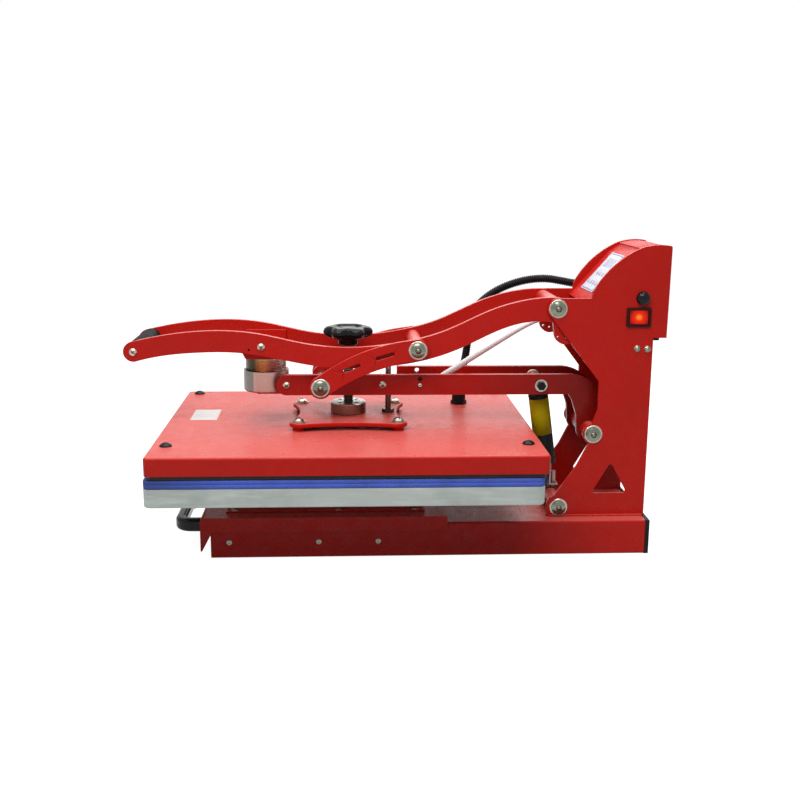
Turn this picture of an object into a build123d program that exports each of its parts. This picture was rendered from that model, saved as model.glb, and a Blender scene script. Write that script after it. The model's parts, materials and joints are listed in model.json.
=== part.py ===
"""Combo heat press: a 400 x 500 mm slide-out clamshell press that an electromagnet holds shut.

Frame: the origin is on the floor, under the centre of the pressure screw. +X points to the rear
of the press, +Y across it, +Z up. Everything is in millimetres, closed and with the drawer in.
"""
from build123d import *

import os
from math import cos, degrees, hypot, pi, radians, sin, sqrt, tan

# Fits
flat_gap = 0.3  # between flat faces that move past each other
shaft_play = 0.05  # radial, between a pivot shaft and what turns on it

# Small fasteners: radius and height of the head, then its crown or its socket's radius
cover_screw = (8.0, 5.0, 3.6)
riser_bolt = (6.0, 3.6, 2.2)
spider_bolt = (7.5, 5.0, 3.0)
arm_bolt = (5.0, 3.4, 2.2)
handle_bolt = (5.0, 3.2, 2.2)
clip_screw = (3.0, 2.0, 1.4)
slide_screw = (3.6, 2.0, 1.6)
plate_bolt = (4.4, 3.6, 2.0)

# Linkage pivots, as (x, z)
handle_pivot = (278.5, 336.0)  # handle on column
arm_pivot = (333.0, 164.5)  # lifting arms on column
strut_foot = (289.0, 60.9)  # gas spring on column
link_top = (92.8, 280.5)  # link on handle
link_foot = (-37.0, 230.0)  # link on arms
strut_head = (264.5, 226.8)  # gas spring on arms

# Widths of the stacked side plates, measured from the centre plane
arm_inner = 28.0
arm_thickness = 8.0
arm_outer = arm_inner + arm_thickness
handle_inner = 51.0
handle_thickness = 8.0
handle_outer = handle_inner + handle_thickness
link_play = 0.5
link_thickness = 6.0
link_inner = handle_outer + link_play
link_outer = link_inner + link_thickness
column_play = 1.0
column_thickness = 4.5
column_inner = handle_outer + column_play
column_outer = column_inner + column_thickness

# Base
tube_height = 48.0
tube_width = 40.0
tube_wall = 2.5
tube_inner = 46.0
tube_outer = tube_inner + tube_width
base_front = -186.0
base_length = 592.0
base_rear = base_front + base_length
cap_thickness = 6.0
crossbar_thickness = 4.5
crossbar_width = 40.0
crossbar_places = (-150.0, 0.0, 150.0)
rear_crossbar_front = 243.0
rear_crossbar_length = 42.0
rear_crossbar_top = 44.5
pan_height = (41.5, 44.0)

# Drawer
tray_front = -199.0
tray_length = 332.0
tray_rear = tray_front + tray_length
tray_half_width = 91.5
tray_top = 58.5
sheet = 2.0
tray_skirt = 18.0
flap_bottom = 12.0
gusset_length = 14.0
riser_height = 48.5
riser_length = 270.0
riser_centre = -31.0
riser_foot = (48.0, 70.0)
riser_flange = (12.0, 50.0)
tray_bolt_places = (-154.0, -14.0, 90.0)
tray_bolt_y = 60.0
grip_span = 104.0
grip_reach = 40.0
grip_bar = 15.0
grip_height = 37.0

# Drawer slides, between the base tubes
rail_height = 34.0
rail_bottom = 5.5
rail_wall = 2.0
rail_depth = 12.0
rail_front = -180.0
rail_rear = 236.0
slide_play = 0.5
hanger_y = (29.0, 33.5)
rail_screw_places = (-161.0, -40.6, 39.8)
rail_screw_height = 22.5

# Plates: the heated cover sets the others' sizes
cover_length = 500.0
cover_width = 400.0
platen_length = cover_length - 2.0
platen_width = cover_width - 6.0
platen_shift = -3.5
platen_corner = 10.0
lower_platen_thickness = 24.0
pad_thickness = 11.2
lower_platen_bottom = tray_top + riser_height
pad_bottom = lower_platen_bottom + lower_platen_thickness
pad_top = pad_bottom + pad_thickness

# Heated head
heat_platen_bottom = pad_top + flat_gap
heat_platen_thickness = 12.0
heat_platen_length = cover_length - 10.0
cover_bottom = 148.2
cover_top = 171.7
cover_corner = 6.0
cover_sheet = 2.0
spider_gap = 5.5
spider_thickness = 5.5
spider_bottom = cover_top + spider_gap
spider_top = spider_bottom + spider_thickness
spider_pitch_x = 134.0
spider_pitch_y = 123.0
spider_ear = 12.5
spider_waist_x = 67.5
spider_waist_depth = 9.0
spider_tip = 16.0
spider_foot_radius = 8.0
spider_washer = 1.5
spider_washer_radius = 9.5
spider_stud = 4.0
hub_radius = 24.5
hub_height = 15.8
hub_slot = (12.0, hub_radius - 4.5)
hub_slot_half = 2.2
hub_slot_depth = 4.0
cover_screw_x = cover_length / 2 - 19.0
cover_screw_y = (59.0 - cover_width / 2, cover_width / 2 - 20.0)
probe_y = (12.0 - cover_width / 2, 28.0 - cover_width / 2)
probe_foot = 131.0
probe_radius = 3.2
cover_gland_place = (166.0, 102.0)
cover_gland_top = 191.5
cover_gland_radius = 10.0

# Arms
arm_depth = 28.0
arm_bottom = 214.2
arm_top = arm_bottom + arm_depth
arm_nose_x = -83.5
arm_bend_x = 303.0
arm_leg_width = 34.0
far_step_x = 69.0
far_step_drop = 12.0
arm_bolt_places = (arm_nose_x, 46.6)
clip_screw_x = 97.7
clip_screw_heights = (227.5, 236.8)
clip_screw_bore = 2.1
far_hole_radius = 3.2

# Magnet and keeper
magnet_x = -113.2
magnet_radius = 31.0
magnet_bottom = 215.6
magnet_top = 244.6
magnet_wall = 5.0
magnet_floor = 8.0
pole_radius = 10.0
magnet_block_half = 12.0
tongue_half = 10.0
tongue_depth = 4.6
keeper_radius = 28.0
keeper_top = 261.0
keeper_flange_radius = 30.0
keeper_flange = 2.0
bracket_floor = keeper_top + keeper_flange + 3.5
bracket_ends = (-144.0, -88.0)

# Pressure screw and knob
screw_radius = 7.0
screw_foot = spider_top + 3.0
knob_bottom = 288.5
knob_height = 16.0
knob_radius = 34.3
knob_lobes = 6
knob_lobe_radius = 9.5
knob_waist = 5.5
knob_rounding = 4.0
knob_dish = 4.0
knob_dish_radius = 20.0
knob_hub_radius = 14.5
knob_hub_bottom = 279.5
guide_rod_x = 55.7
guide_rod_radius = 4.0
guide_rod_top = 263.0
guide_lock = (254.0, 259.0)
guide_lock_radius = 6.4
guide_nut_radius = 8.6
guide_nut_height = 5.0
screw_collar_radius = 11.0
screw_collar_height = 4.5

# Handle
handle_nose = (-282.7, 278.3)
handle_nose_radius = 13.3
lug_radius = 14.3
stop_lobe = (291.0, 303.0)
stop_lobe_radius = 15.6
cross_tube_radius = 12.5
front_tube_radius = 11.0
front_tube_bore = 7.0
handle_top_line = (
    (-246.0, 299.6), (-190.0, 305.7), (-120.0, 302.0), (-60.0, 289.2), (5.0, 283.6),
    (70.0, 290.2), (128.0, 305.4), (190.0, 333.4), (236.0, 346.8),
)
handle_bottom_line = (
    (247.0, 318.4), (205.0, 308.3), (152.0, 283.4), (100.0, 265.8), (30.0, 256.4),
    (-30.0, 257.0), (-81.0, 265.8), (-142.0, 276.4), (-195.0, 277.2), (-240.0, 273.6),
)
handle_holes = ((281.0, 297.5), (290.0, 295.0), (-131.5, 280.5))
handle_hole_radius = 1.6
handle_bolt_place = (-115.0, 284.4)
grip_radius = 14.0
grip_place = (-278.0, 279.5)

# Link
link_radius = 14.8
link_bow = 9.6
link_slots = (((49.0, 272.6), 26.0, 17.0), ((4.6, 256.8), 24.0, 21.5))  # middle, length, turn
link_slot_half = 2.6

# Pivot bolts
shaft_radius = 7.5
head_radius = 12.5
head_flange = 1.6
head_crown = 10.0
head_height = 4.2
strut_pin_radius = 5.0
strut_washer = 1.6
strut_washer_radius = 8.5
strut_nut_radius = 6.2
strut_nut_height = 4.6
arm_sleeve_radius = 12.0
link_sleeve_radius = 11.0
strut_sleeve_radius = 8.0
foot_spacer_radius = 11.0

# Gas spring
strut_radius = 13.8
strut_length = 122.0
strut_bore = 10.0
strut_rod_radius = 5.0
strut_eye_radius = 12.0
strut_eye_width = 16.0
strut_travel = 31.0
strut_end = 6.0
strut_shoulder = 18.0
strut_wall = 8.0
piston_length = 8.0
strut_slot = 3.4

# Column and control box
column_rear = 408.5
column_window = ((333.5, 80.8), (384.0, 80.8), (359.2, 124.8))
web_foot = 118.0
web_thickness = 3.0
handle_lug = 13.8
arm_lug = 14.2
foot_lug = 17.5
column_neck = ((337.6, 237.5), (337.6, 198.0))
column_slope = ((312.0, 119.8), (285.2, 81.4), (276.5, 66.0), (272.5, tube_height))
box_rear = 426.5
box_bottom = 297.0
box_top = 419.0
box_sheet = 2.0
mains_gland = (box_rear - 9.0, -42.0)
cheek_crown = (box_rear - 18.5, box_top + 1.4)
cheek_step = (box_rear - 40.5, box_top - 2.8)
cheek_bulge = (box_rear - 75.5, box_top - 26.0)
cheek_chin = (box_rear - 102.0, box_top - 61.0)
crest = (box_rear - 39.0, box_top - 5.5)
floor_front = box_rear - 74.5
panel_low = (box_rear - 97.5, box_top - 64.1)
panel_high = (box_rear - 54.5, box_top - 15.2)
lip_run = 17.0  # how far the sloping front runs on below the film
panel_half_width = 33.0
panel_film = 0.8
panel_glue = 0.1
plate_bolt_places = ((387.3, 282.6), (401.1, 281.9))
switch_centre = (box_rear - 39.5, 325.0)
switch_size = (33.0, 25.6)
switch_opening = (26.2, 18.4)
switch_pivot_depth = 2.0
switch_pin = 1.5
bezel_height = 2.6
reset_centre = (box_rear - 35.1, 350.5)
reset_radius = 8.4
reset_collar_radius = 9.0
reset_shank = 6.0
reset_stem = 4.0
reset_travel = 2.5

# Conduit and sleeve
conduit_radius = 6.0
sleeve_radius = 4.0
elbow_mouth = (352.0, 91.0, 353.5)
elbow_run = 24.0
elbow_radius = 11.0
mouth_radius = 9.0
mains_gland_radius = 5.5
clip_end = (104.0, -19.0, 225.5)


def block(x, y, z):
    """A box from three (low, high) pairs."""
    size = [high - low for low, high in (x, y, z)]
    centre = [(high + low) / 2 for low, high in (x, y, z)]
    return Pos(*centre) * Box(*size)


def rod_y(place, radius, y):
    """A cylinder across the press, centred at (x, z), between two values of y."""
    centre = Pos(place[0], (y[0] + y[1]) / 2, place[1])
    return centre * Rot(90, 0, 0) * Cylinder(radius, y[1] - y[0])


def rod_z(place, radius, z):
    """An upright cylinder at (x, y), between two heights."""
    return Pos(place[0], place[1], (z[0] + z[1]) / 2) * Cylinder(radius, z[1] - z[0])


def rod_x(place, radius, x):
    """A cylinder along the press at (y, z), between two values of x."""
    centre = Pos((x[0] + x[1]) / 2, place[0], place[1])
    return centre * Rot(0, 90, 0) * Cylinder(radius, x[1] - x[0])


def side_plate(outline, y):
    """Thickens an outline drawn in (x, z) to fill between two values of y."""
    return extrude(Plane.XZ.offset(-y[1]) * outline, amount=y[1] - y[0])


def both_sides(y_low, y_high):
    """The near and the far band between two distances from the centre plane."""
    return ((-y_high, -y_low), (y_low, y_high))


def spot(place, radius):
    """A disc in an outline, at (x, z)."""
    return Pos(place[0], place[1]) * Circle(radius)


def thick_line(start, end, radius):
    """A straight bar outline with round ends."""
    dx, dz = end[0] - start[0], end[1] - start[1]
    middle = Pos((start[0] + end[0]) / 2, (start[1] + end[1]) / 2)
    bar = middle * Rot(0, 0, degrees(atan2_of(dz, dx))) * Rectangle(hypot(dx, dz), 2 * radius)
    return bar + spot(start, radius) + spot(end, radius)


def atan2_of(dz, dx):
    """The direction of (dx, dz) in radians, for any quadrant."""
    angle = Vector(1, 0, 0).get_angle(Vector(dx, dz, 0))
    return radians(angle if dz >= 0 else -angle)


def dome(radius, height, crown):
    """A bolt head on z = 0: a short rim under a crown cut from a ball."""
    ball = (radius ** 2 + crown ** 2) / (2 * crown)
    half_way = (radius / 2, height - ball + sqrt(ball ** 2 - radius ** 2 / 4))
    profile = Polyline((0, height), (0, 0), (radius, 0), (radius, height - crown))
    crown_arc = ThreePointArc((radius, height - crown), half_way, (0, height))
    return revolve(Plane.XZ * make_face(profile + crown_arc), Axis.Z)


def button_head(radius, height, socket):
    """A domed screw head on z = 0 with a hexagon socket."""
    head = dome(radius, height, height * 0.62)
    hexagon = Pos(0, 0, height * 0.45) * extrude(RegularPolygon(socket, 6), amount=height)
    return head - hexagon


def pivot_head():
    """The flanged head of a pivot bolt on z = 0, with its hexagon socket."""
    flange = rod_z((0, 0), head_radius, (0, head_flange))
    flange = chamfer(flange.edges().sort_by(Axis.Z)[-1], 0.6)
    return flange + Pos(0, 0, head_flange) * button_head(head_crown, head_height, 4.4)


def face_y(part, place, y, side):
    """Moves a head made on z = 0 onto a side face at (x, z), pointing to side -1 or +1."""
    return Pos(place[0], y, place[1]) * Rot(-90 * side, 0, 0) * part


def turned_slot(place, length, radius, angle):
    """A straight slot outline with round ends, turned about its centre."""
    half = length / 2 - radius
    step = (half * cos(radians(angle)), half * sin(radians(angle)))
    start = (place[0] - step[0], place[1] - step[1])
    end = (place[0] + step[0], place[1] + step[1])
    return thick_line(start, end, radius)


# Base: two tubes, their caps, the bars between them


def base_tube(side):
    y = sorted((side * tube_inner, side * tube_outer))
    outer = block((base_front, base_rear), y, (0, tube_height))
    outer = fillet(outer.edges().filter_by(Axis.X), 3.0)
    inner = block(
        (base_front - 1, base_rear + 1),
        (y[0] + tube_wall, y[1] - tube_wall),
        (tube_wall, tube_height - tube_wall),
    )
    return outer - inner


def tube_caps():
    """Flanged caps at the rear and flush plugs at the front."""
    caps = []
    inset = tube_wall + flat_gap
    for y in both_sides(tube_inner, tube_outer):
        inside = ((y[0] + inset, y[1] - inset), (inset, tube_height - inset))
        flange = block((base_rear, base_rear + cap_thickness), y, (0, tube_height))
        caps.append(flange + block((base_rear - 12.0, base_rear), *inside))
        caps.append(block((base_front + 1.0, base_front + 12.0), *inside))
    return caps


def crossbars():
    bars = [
        block(
            (x - crossbar_width / 2, x + crossbar_width / 2),
            (-tube_inner, tube_inner),
            (0, crossbar_thickness),
        )
        for x in crossbar_places
    ]
    x = (rear_crossbar_front, rear_crossbar_front + rear_crossbar_length)
    wall = tube_wall
    rear = block(x, (-tube_inner, tube_inner), (0, rear_crossbar_top))
    hollow = block(
        (x[0] + wall, x[1] - wall), (-tube_inner, tube_inner), (wall, rear_crossbar_top - wall)
    )
    pan = block((tray_rear + 3.0, x[0]), (-tube_inner, tube_inner), pan_height)
    return bars + [rear - hollow, pan]


def fixed_rails():
    rails = []
    for side in (-1, 1):
        z = (rail_bottom, rail_bottom + rail_height)
        y = sorted((side * tube_inner, side * (tube_inner - rail_depth)))
        channel = block((rail_front, rail_rear), y, z)
        mouth = sorted((side * (tube_inner - rail_wall), side * (tube_inner - rail_depth - 1)))
        hollow = block(
            (rail_front - 1, rail_rear + 1), mouth, (z[0] + rail_wall, z[1] - rail_wall)
        )
        rails.append(channel - hollow)
    return rails


def moving_rails():
    rails = []
    x = (rail_front + 2, rail_rear - 6)
    for side in (-1, 1):
        inside = tube_inner - rail_wall - slide_play
        bar_y = sorted((side * inside, side * hanger_y[1]))
        bar_z = (
            rail_bottom + rail_wall + slide_play,
            rail_bottom + rail_height - rail_wall - slide_play,
        )
        bar = block(x, bar_y, bar_z)
        web = block(
            (x[0], tray_rear - 15), sorted((side * hanger_y[0], side * hanger_y[1])),
            (bar_z[0], tray_top - sheet),
        )
        strip = block(x, sorted((side * hanger_y[0], side * hanger_y[1])), bar_z)
        flange = block(
            (x[0], tray_rear - 15), sorted((side * 12.0, side * hanger_y[1])),
            (tray_top - sheet - 2.5, tray_top - sheet),
        )
        rails.append(bar + strip + web + flange)
    return rails


# Drawer: the tray, its grip, the risers and the lower platen


def drawer_tray():
    plate = Polyline(
        (tray_rear, tray_top), (tray_front, tray_top), (tray_front, flap_bottom),
        (tray_front + sheet, flap_bottom), (tray_front + sheet, tray_top - sheet),
        (tray_rear, tray_top - sheet), close=True,
    )
    pan = side_plate(make_face(plate), (-tray_half_width, tray_half_width))
    corner = pan.edges().filter_by(Axis.Y).sort_by(lambda e: (e.center() - Vector(
        tray_front, 0, tray_top)).length)[0]
    pan = fillet(corner, 5.0)
    skirt = Polyline(
        (tray_front + sheet, tray_top - sheet), (tray_rear, tray_top - sheet),
        (tray_rear, tray_top - sheet - tray_skirt),
        (tray_front + sheet + gusset_length, tray_top - sheet - tray_skirt),
        (tray_front + sheet, flap_bottom), close=True,
    )
    for y in both_sides(tray_half_width - sheet, tray_half_width):
        pan += side_plate(make_face(skirt), y)
    return pan


def drawer_grip():
    """A moulded bow handle: a bar across the flap on two short legs."""
    x_far = tray_front - grip_reach
    half = grip_span / 2
    path = FilletPolyline(
        (tray_front, -half, grip_height), (x_far + grip_bar / 2, -half, grip_height),
        (x_far + grip_bar / 2, half, grip_height), (tray_front, half, grip_height),
        radius=16.0,
    )
    section = Plane((tray_front, -half, grip_height), x_dir=(0, 1, 0), z_dir=(-1, 0, 0))
    return sweep(section * RectangleRounded(grip_bar, grip_bar + 3, 5.0), path=path)


def risers():
    x = (riser_centre - riser_length / 2, riser_centre + riser_length / 2)
    z = (tray_top, tray_top + riser_height)
    parts = []
    for side in (-1, 1):
        foot = block(x, sorted(side * v for v in riser_foot), (z[0], z[0] + sheet))
        web = block(x, sorted((side * riser_foot[0], side * riser_flange[1])), z)
        flange = block(x, sorted(side * v for v in riser_flange), (z[1] - sheet, z[1]))
        riser = foot + web + flange
        for bolt_x in tray_bolt_places:
            riser -= rod_z((bolt_x, side * tray_bolt_y), 3.3, (z[0] - 1, z[0] + sheet + 1))
        parts.append(riser)
    return parts


def riser_bolts():
    seat = tray_top + sheet
    head = dome(*riser_bolt)
    bolts = []
    for x in tray_bolt_places:
        for y in (-tray_bolt_y, tray_bolt_y):
            bolts.append(Pos(x, y, seat) * head + rod_z((x, y), 3.0, (tray_top, seat)))
    return bolts


def rounded_slab(length, width, corner, x_centre, z):
    slab = RectangleRounded(length, width, corner)
    return extrude(Pos(x_centre, 0, z[0]) * slab, amount=z[1] - z[0])


def lower_platen():
    z = (lower_platen_bottom, pad_bottom)
    plate = rounded_slab(platen_length, platen_width, platen_corner, platen_shift, z)
    return chamfer(plate.faces().sort_by(Axis.Z)[0].outer_wire().edges(), 1.5)


def silicone_pad():
    pad = rounded_slab(
        platen_length, platen_width, platen_corner, platen_shift, (pad_bottom, pad_top)
    )
    return fillet(pad.faces().sort_by(Axis.Z)[-1].outer_wire().edges(), 1.2)


# Heated head


def upper_cover():
    z = (cover_bottom, cover_top)
    outer = rounded_slab(cover_length, cover_width, cover_corner, 0, z)
    outer = fillet(outer.faces().sort_by(Axis.Z)[-1].outer_wire().edges(), 3.0)
    inner = rounded_slab(
        cover_length - 2 * cover_sheet, cover_width - 2 * cover_sheet,
        cover_corner - cover_sheet, 0, (z[0] - 1, z[1] - cover_sheet),
    )
    return outer - inner


def heat_platen():
    z = (heat_platen_bottom, heat_platen_bottom + heat_platen_thickness)
    plate = rounded_slab(
        heat_platen_length, platen_width, cover_corner - cover_sheet, 0, z
    )
    return chamfer(plate.faces().sort_by(Axis.Z)[0].outer_wire().edges(), 1.0)


def insulation_board():
    z = (heat_platen_bottom + heat_platen_thickness, cover_top - cover_sheet)
    return rounded_slab(heat_platen_length - 10, platen_width - 14, 8, 0, z)


def spider_places():
    return [
        (x, y)
        for x in (-spider_pitch_x / 2, spider_pitch_x / 2)
        for y in (-spider_pitch_y / 2, spider_pitch_y / 2)
    ]


def spider_plate():
    """Four rounded ears joined by concave edges."""
    ear_x = spider_pitch_x / 2 + spider_ear
    ear_y = spider_pitch_y / 2 + spider_ear
    tip = spider_tip
    corners = ((-1, -1), (1, -1), (1, 1), (-1, 1))
    outline = Curve()
    for index, (sx, sy) in enumerate(corners):
        nx, ny = corners[(index + 1) % 4]
        if sy == ny:
            start = (sx * (ear_x - tip), sy * ear_y)
            end = (nx * (ear_x - tip), ny * ear_y)
            middle = (0, sy * (ear_y - spider_waist_depth))
            turn = ((nx * (ear_x - tip), ny * ear_y), (nx * ear_x, ny * (ear_y - tip)))
        else:
            start = (sx * ear_x, sy * (ear_y - tip))
            end = (nx * ear_x, ny * (ear_y - tip))
            middle = (sx * spider_waist_x, 0)
            turn = ((nx * ear_x, ny * (ear_y - tip)), (nx * (ear_x - tip), ny * ear_y))
        outline += ThreePointArc(start, middle, end)
        bulge = (
            nx * (ear_x - tip * 0.29), ny * (ear_y - tip * 0.29)
        )
        outline += ThreePointArc(turn[0], bulge, turn[1])
    plate = extrude(Pos(0, 0, spider_bottom) * make_face(outline), amount=spider_thickness)
    for place in spider_places():
        plate += rod_z(place, spider_foot_radius, (cover_top, spider_bottom))
        plate -= rod_z(place, spider_stud + 0.3, (cover_top - 1, spider_top + 1))
    guide_hole = rod_z((guide_rod_x, 0), guide_rod_radius + 1.2, (spider_bottom - 1, spider_top + 1))
    return plate - guide_hole


def spider_bolts():
    bolts = []
    for x, y in spider_places():
        bolt = Pos(x, y, spider_top + spider_washer) * button_head(*spider_bolt)
        bolt += rod_z((x, y), spider_washer_radius, (spider_top, spider_top + spider_washer))
        bolt += rod_z((x, y), spider_stud, (cover_top, spider_top))
        bolts.append(bolt)
    return bolts


def screw_hub():
    z = (spider_top, spider_top + hub_height)
    hub = rod_z((0, 0), hub_radius, z)
    hub = chamfer(hub.edges().filter_by(GeomType.CIRCLE), 1.0)
    hub -= rod_z((0, 0), screw_radius + shaft_play, (screw_foot, z[1] + 1))
    slot = block(hub_slot, (-hub_slot_half, hub_slot_half), (z[1] - hub_slot_depth, z[1] + 1))
    for turn in range(4):
        hub -= Rot(0, 0, 45 + 90 * turn) * slot
    return hub


def guide_rod():
    """The rod that keeps the head from turning, with its nut on the spider plate."""
    place = (guide_rod_x, 0)
    hexagon = Pos(guide_rod_x, 0, spider_top) * RegularPolygon(guide_nut_radius, 6)
    nut = extrude(hexagon, amount=guide_nut_height)
    thread = rod_z(place, guide_rod_radius, (spider_bottom, spider_top))
    rod = rod_z(place, guide_rod_radius, (spider_top, guide_rod_top))
    lock = rod_z(place, guide_lock_radius, guide_lock)
    return rod + thread + nut + lock


def cover_screws():
    head = dome(*cover_screw)
    return [
        Pos(x, y, cover_top) * head
        for x in (-cover_screw_x, cover_screw_x)
        for y in cover_screw_y
    ]


def probe_bracket():
    """The small angle that carries the temperature probe, on the rear near corner."""
    x = cover_length / 2
    upright = block((x, x + cover_sheet), probe_y, (probe_foot, cover_bottom + 10.0))
    foot = block((x, x + 11.0), probe_y, (probe_foot, probe_foot + cover_sheet))
    place = (x + 6.0, sum(probe_y) / 2)
    return upright + foot + rod_z(place, probe_radius, (probe_foot + 1.0, cover_bottom - 1.0))


def cover_gland():
    x, y = cover_gland_place
    body = rod_z((x, y), cover_gland_radius, (cover_top + 5.0, cover_gland_top))
    nut = extrude(Pos(x, y, cover_top) * RegularPolygon(cover_gland_radius + 2, 6), amount=5.0)
    return body + nut


# Lifting arms and what they carry


def arm_outline(step):
    """One arm, drawn in (x, z): a long bar whose rear end turns down to its pivot."""
    mid = (arm_bottom + arm_top) / 2
    bar = Pos((arm_nose_x + arm_bend_x) / 2, mid) * Rectangle(arm_bend_x - arm_nose_x, arm_depth)
    nose = spot((arm_nose_x, mid), arm_depth / 2)
    half = arm_leg_width / 2
    leg = Polyline(
        (arm_bend_x, arm_top), (arm_bend_x, arm_bottom), (arm_bend_x + 5.0, arm_bottom - 8.0),
        (arm_pivot[0] - half - 1.5, arm_pivot[1] + 22.0), (arm_pivot[0] - half, arm_pivot[1]),
        (arm_pivot[0] + half, arm_pivot[1]), (arm_pivot[0] + half, arm_bottom + 2.0),
    )
    shoulder = ThreePointArc(
        (arm_pivot[0] + half, arm_bottom + 2.0), (arm_pivot[0] + 2.0, arm_top - 10.5),
        (arm_bend_x, arm_top),
    )
    outline = bar + nose + make_face(leg + shoulder) + spot(arm_pivot, half)
    if step:
        x = (arm_nose_x - arm_depth, far_step_x)
        drop = Pos((x[0] + x[1]) / 2, arm_top) * Rectangle(x[1] - x[0], 2 * far_step_drop)
        outline -= drop
        low = arm_top - far_step_drop - arm_bottom
        outline += spot((arm_nose_x, arm_bottom + low / 2), low / 2)
        outline += spot(link_foot, link_radius * 0.93)
    return outline


def arm(side):
    outline = arm_outline(side > 0)
    bores = (arm_pivot, link_foot)
    for place in bores:
        outline -= spot(place, shaft_radius + shaft_play)
    outline -= spot(strut_head, strut_pin_radius + shaft_play)
    for z in clip_screw_heights:
        outline -= spot((clip_screw_x, z), clip_screw_bore if side < 0 else far_hole_radius)
    y = sorted((side * arm_inner, side * arm_outer))
    return side_plate(outline, y)


def arm_blocks():
    """The blocks between the arms: the screw nut at the centre and the rod guide behind it."""
    z = (arm_bottom + 1.0, arm_top - far_step_drop - 1.0)
    y = (-arm_inner, arm_inner)
    nut = block((-20.0, 20.0), y, z)
    nut -= rod_z((0, 0), screw_radius + shaft_play, (z[0] - 1, z[1] + 1))
    guide_x = (arm_bolt_places[1] - 8.0, guide_rod_x + 12.0)
    guide = block(guide_x, y, z)
    guide -= rod_z((guide_rod_x, 0), guide_rod_radius + shaft_play, (z[0] - 1, z[1] + 1))
    return [nut, guide]


def magnet_block():
    """The block between the arm noses, hollowed to the magnet, with the tongue under it."""
    block_x = (arm_nose_x - magnet_block_half, arm_nose_x + magnet_block_half)
    y = (-tongue_half, tongue_half)
    front = magnet_x - magnet_block_half
    z = (arm_bottom + 1.0, arm_top - far_step_drop - 1.0)
    seat = block(block_x, (-arm_inner, arm_inner), z)
    seat -= rod_z((magnet_x, 0), magnet_radius + 0.2, (z[0] - 1, z[1] + 1))
    tongue = block((front, block_x[1]), y, (magnet_bottom - tongue_depth, z[0]))
    pad = block((front, magnet_x + magnet_block_half), y, (z[0], magnet_bottom))
    return seat + tongue + pad


def magnet_cup():
    z = (magnet_bottom, magnet_top)
    cup = rod_z((magnet_x, 0), magnet_radius, z)
    cup = fillet(cup.edges().filter_by(GeomType.CIRCLE).sort_by(Axis.Z)[0], 2.5)
    groove = rod_z((magnet_x, 0), magnet_radius - magnet_wall, (z[0] + magnet_floor, z[1] + 1))
    pole = rod_z((magnet_x, 0), pole_radius, (z[0] + magnet_floor - 1, z[1] - 0.2))
    return cup - groove + pole


def magnet_coil():
    z = (magnet_bottom + magnet_floor, magnet_top - 1.0)
    coil = rod_z((magnet_x, 0), magnet_radius - magnet_wall - flat_gap, z)
    return coil - rod_z((magnet_x, 0), pole_radius + flat_gap, (z[0] - 1, z[1] + 1))


def arm_bolts():
    head = button_head(*arm_bolt)
    middle = (arm_bottom + arm_top) / 2
    heights = ((-1, middle), (1, middle - far_step_drop / 2))
    return [
        face_y(head, (x, z), side * arm_outer, side)
        for x in arm_bolt_places
        for side, z in heights
    ]


def link_pin():
    """The shaft through both links and both arms, with a washer and a head at each end."""
    pin = rod_y(link_foot, shaft_radius, (-link_outer - 0.5, link_outer + 0.5))
    for side in (-1, 1):
        y = side * (link_outer + flat_gap)
        pin += face_y(pivot_head(), link_foot, y, side)
    return pin


def strut_pin():
    """The black bolt through the arms that carries the gas spring's upper eye."""
    seat = arm_outer + strut_washer
    pin = rod_y(strut_head, strut_pin_radius, (-seat, seat))
    for side in (-1, 1):
        y = side * seat
        pin += rod_y(strut_head, strut_washer_radius, sorted((side * arm_outer, y)))
        hexagon = extrude(RegularPolygon(strut_nut_radius, 6), amount=strut_nut_height)
        pin += face_y(hexagon, strut_head, y, side)
    return pin


def arm_sleeves():
    """Spacer tubes on the pivot shafts, all fixed to the arms."""
    sleeves = []
    runs = [(arm_pivot, (-arm_inner, arm_inner), arm_sleeve_radius)]
    for y in both_sides(arm_outer, link_inner - flat_gap):
        runs.append((link_foot, y, link_sleeve_radius))
    for y in both_sides(arm_outer, column_inner - flat_gap):
        runs.append((arm_pivot, y, arm_sleeve_radius))
    half_eye = strut_eye_width / 2 + flat_gap
    for y in both_sides(half_eye, arm_inner):
        runs.append((strut_head, y, strut_sleeve_radius))
    for place, y, radius in runs:
        bore = strut_pin_radius if place == strut_head else shaft_radius
        hole = rod_y(place, bore + shaft_play, (y[0] - 1, y[1] + 1))
        sleeves.append(rod_y(place, radius, y) - hole)
    return sleeves


def sleeve_clip():
    """The clamp block on the near arm's inner face that holds the white sleeve."""
    x, y, z = clip_end
    body = block((x - 12.0, x), (-arm_inner, y + sleeve_radius + 2), (z - 6.5, z + 6.5))
    screws = [
        face_y(button_head(*clip_screw), (clip_screw_x, height), -arm_outer, -1)
        for height in clip_screw_heights
    ]
    tab = block((x - 12.0, x), (-arm_inner, -arm_inner + 2.5), (z + 6.5, arm_top - 1))
    return [body + tab] + screws


# Knob and pressure screw


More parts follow.
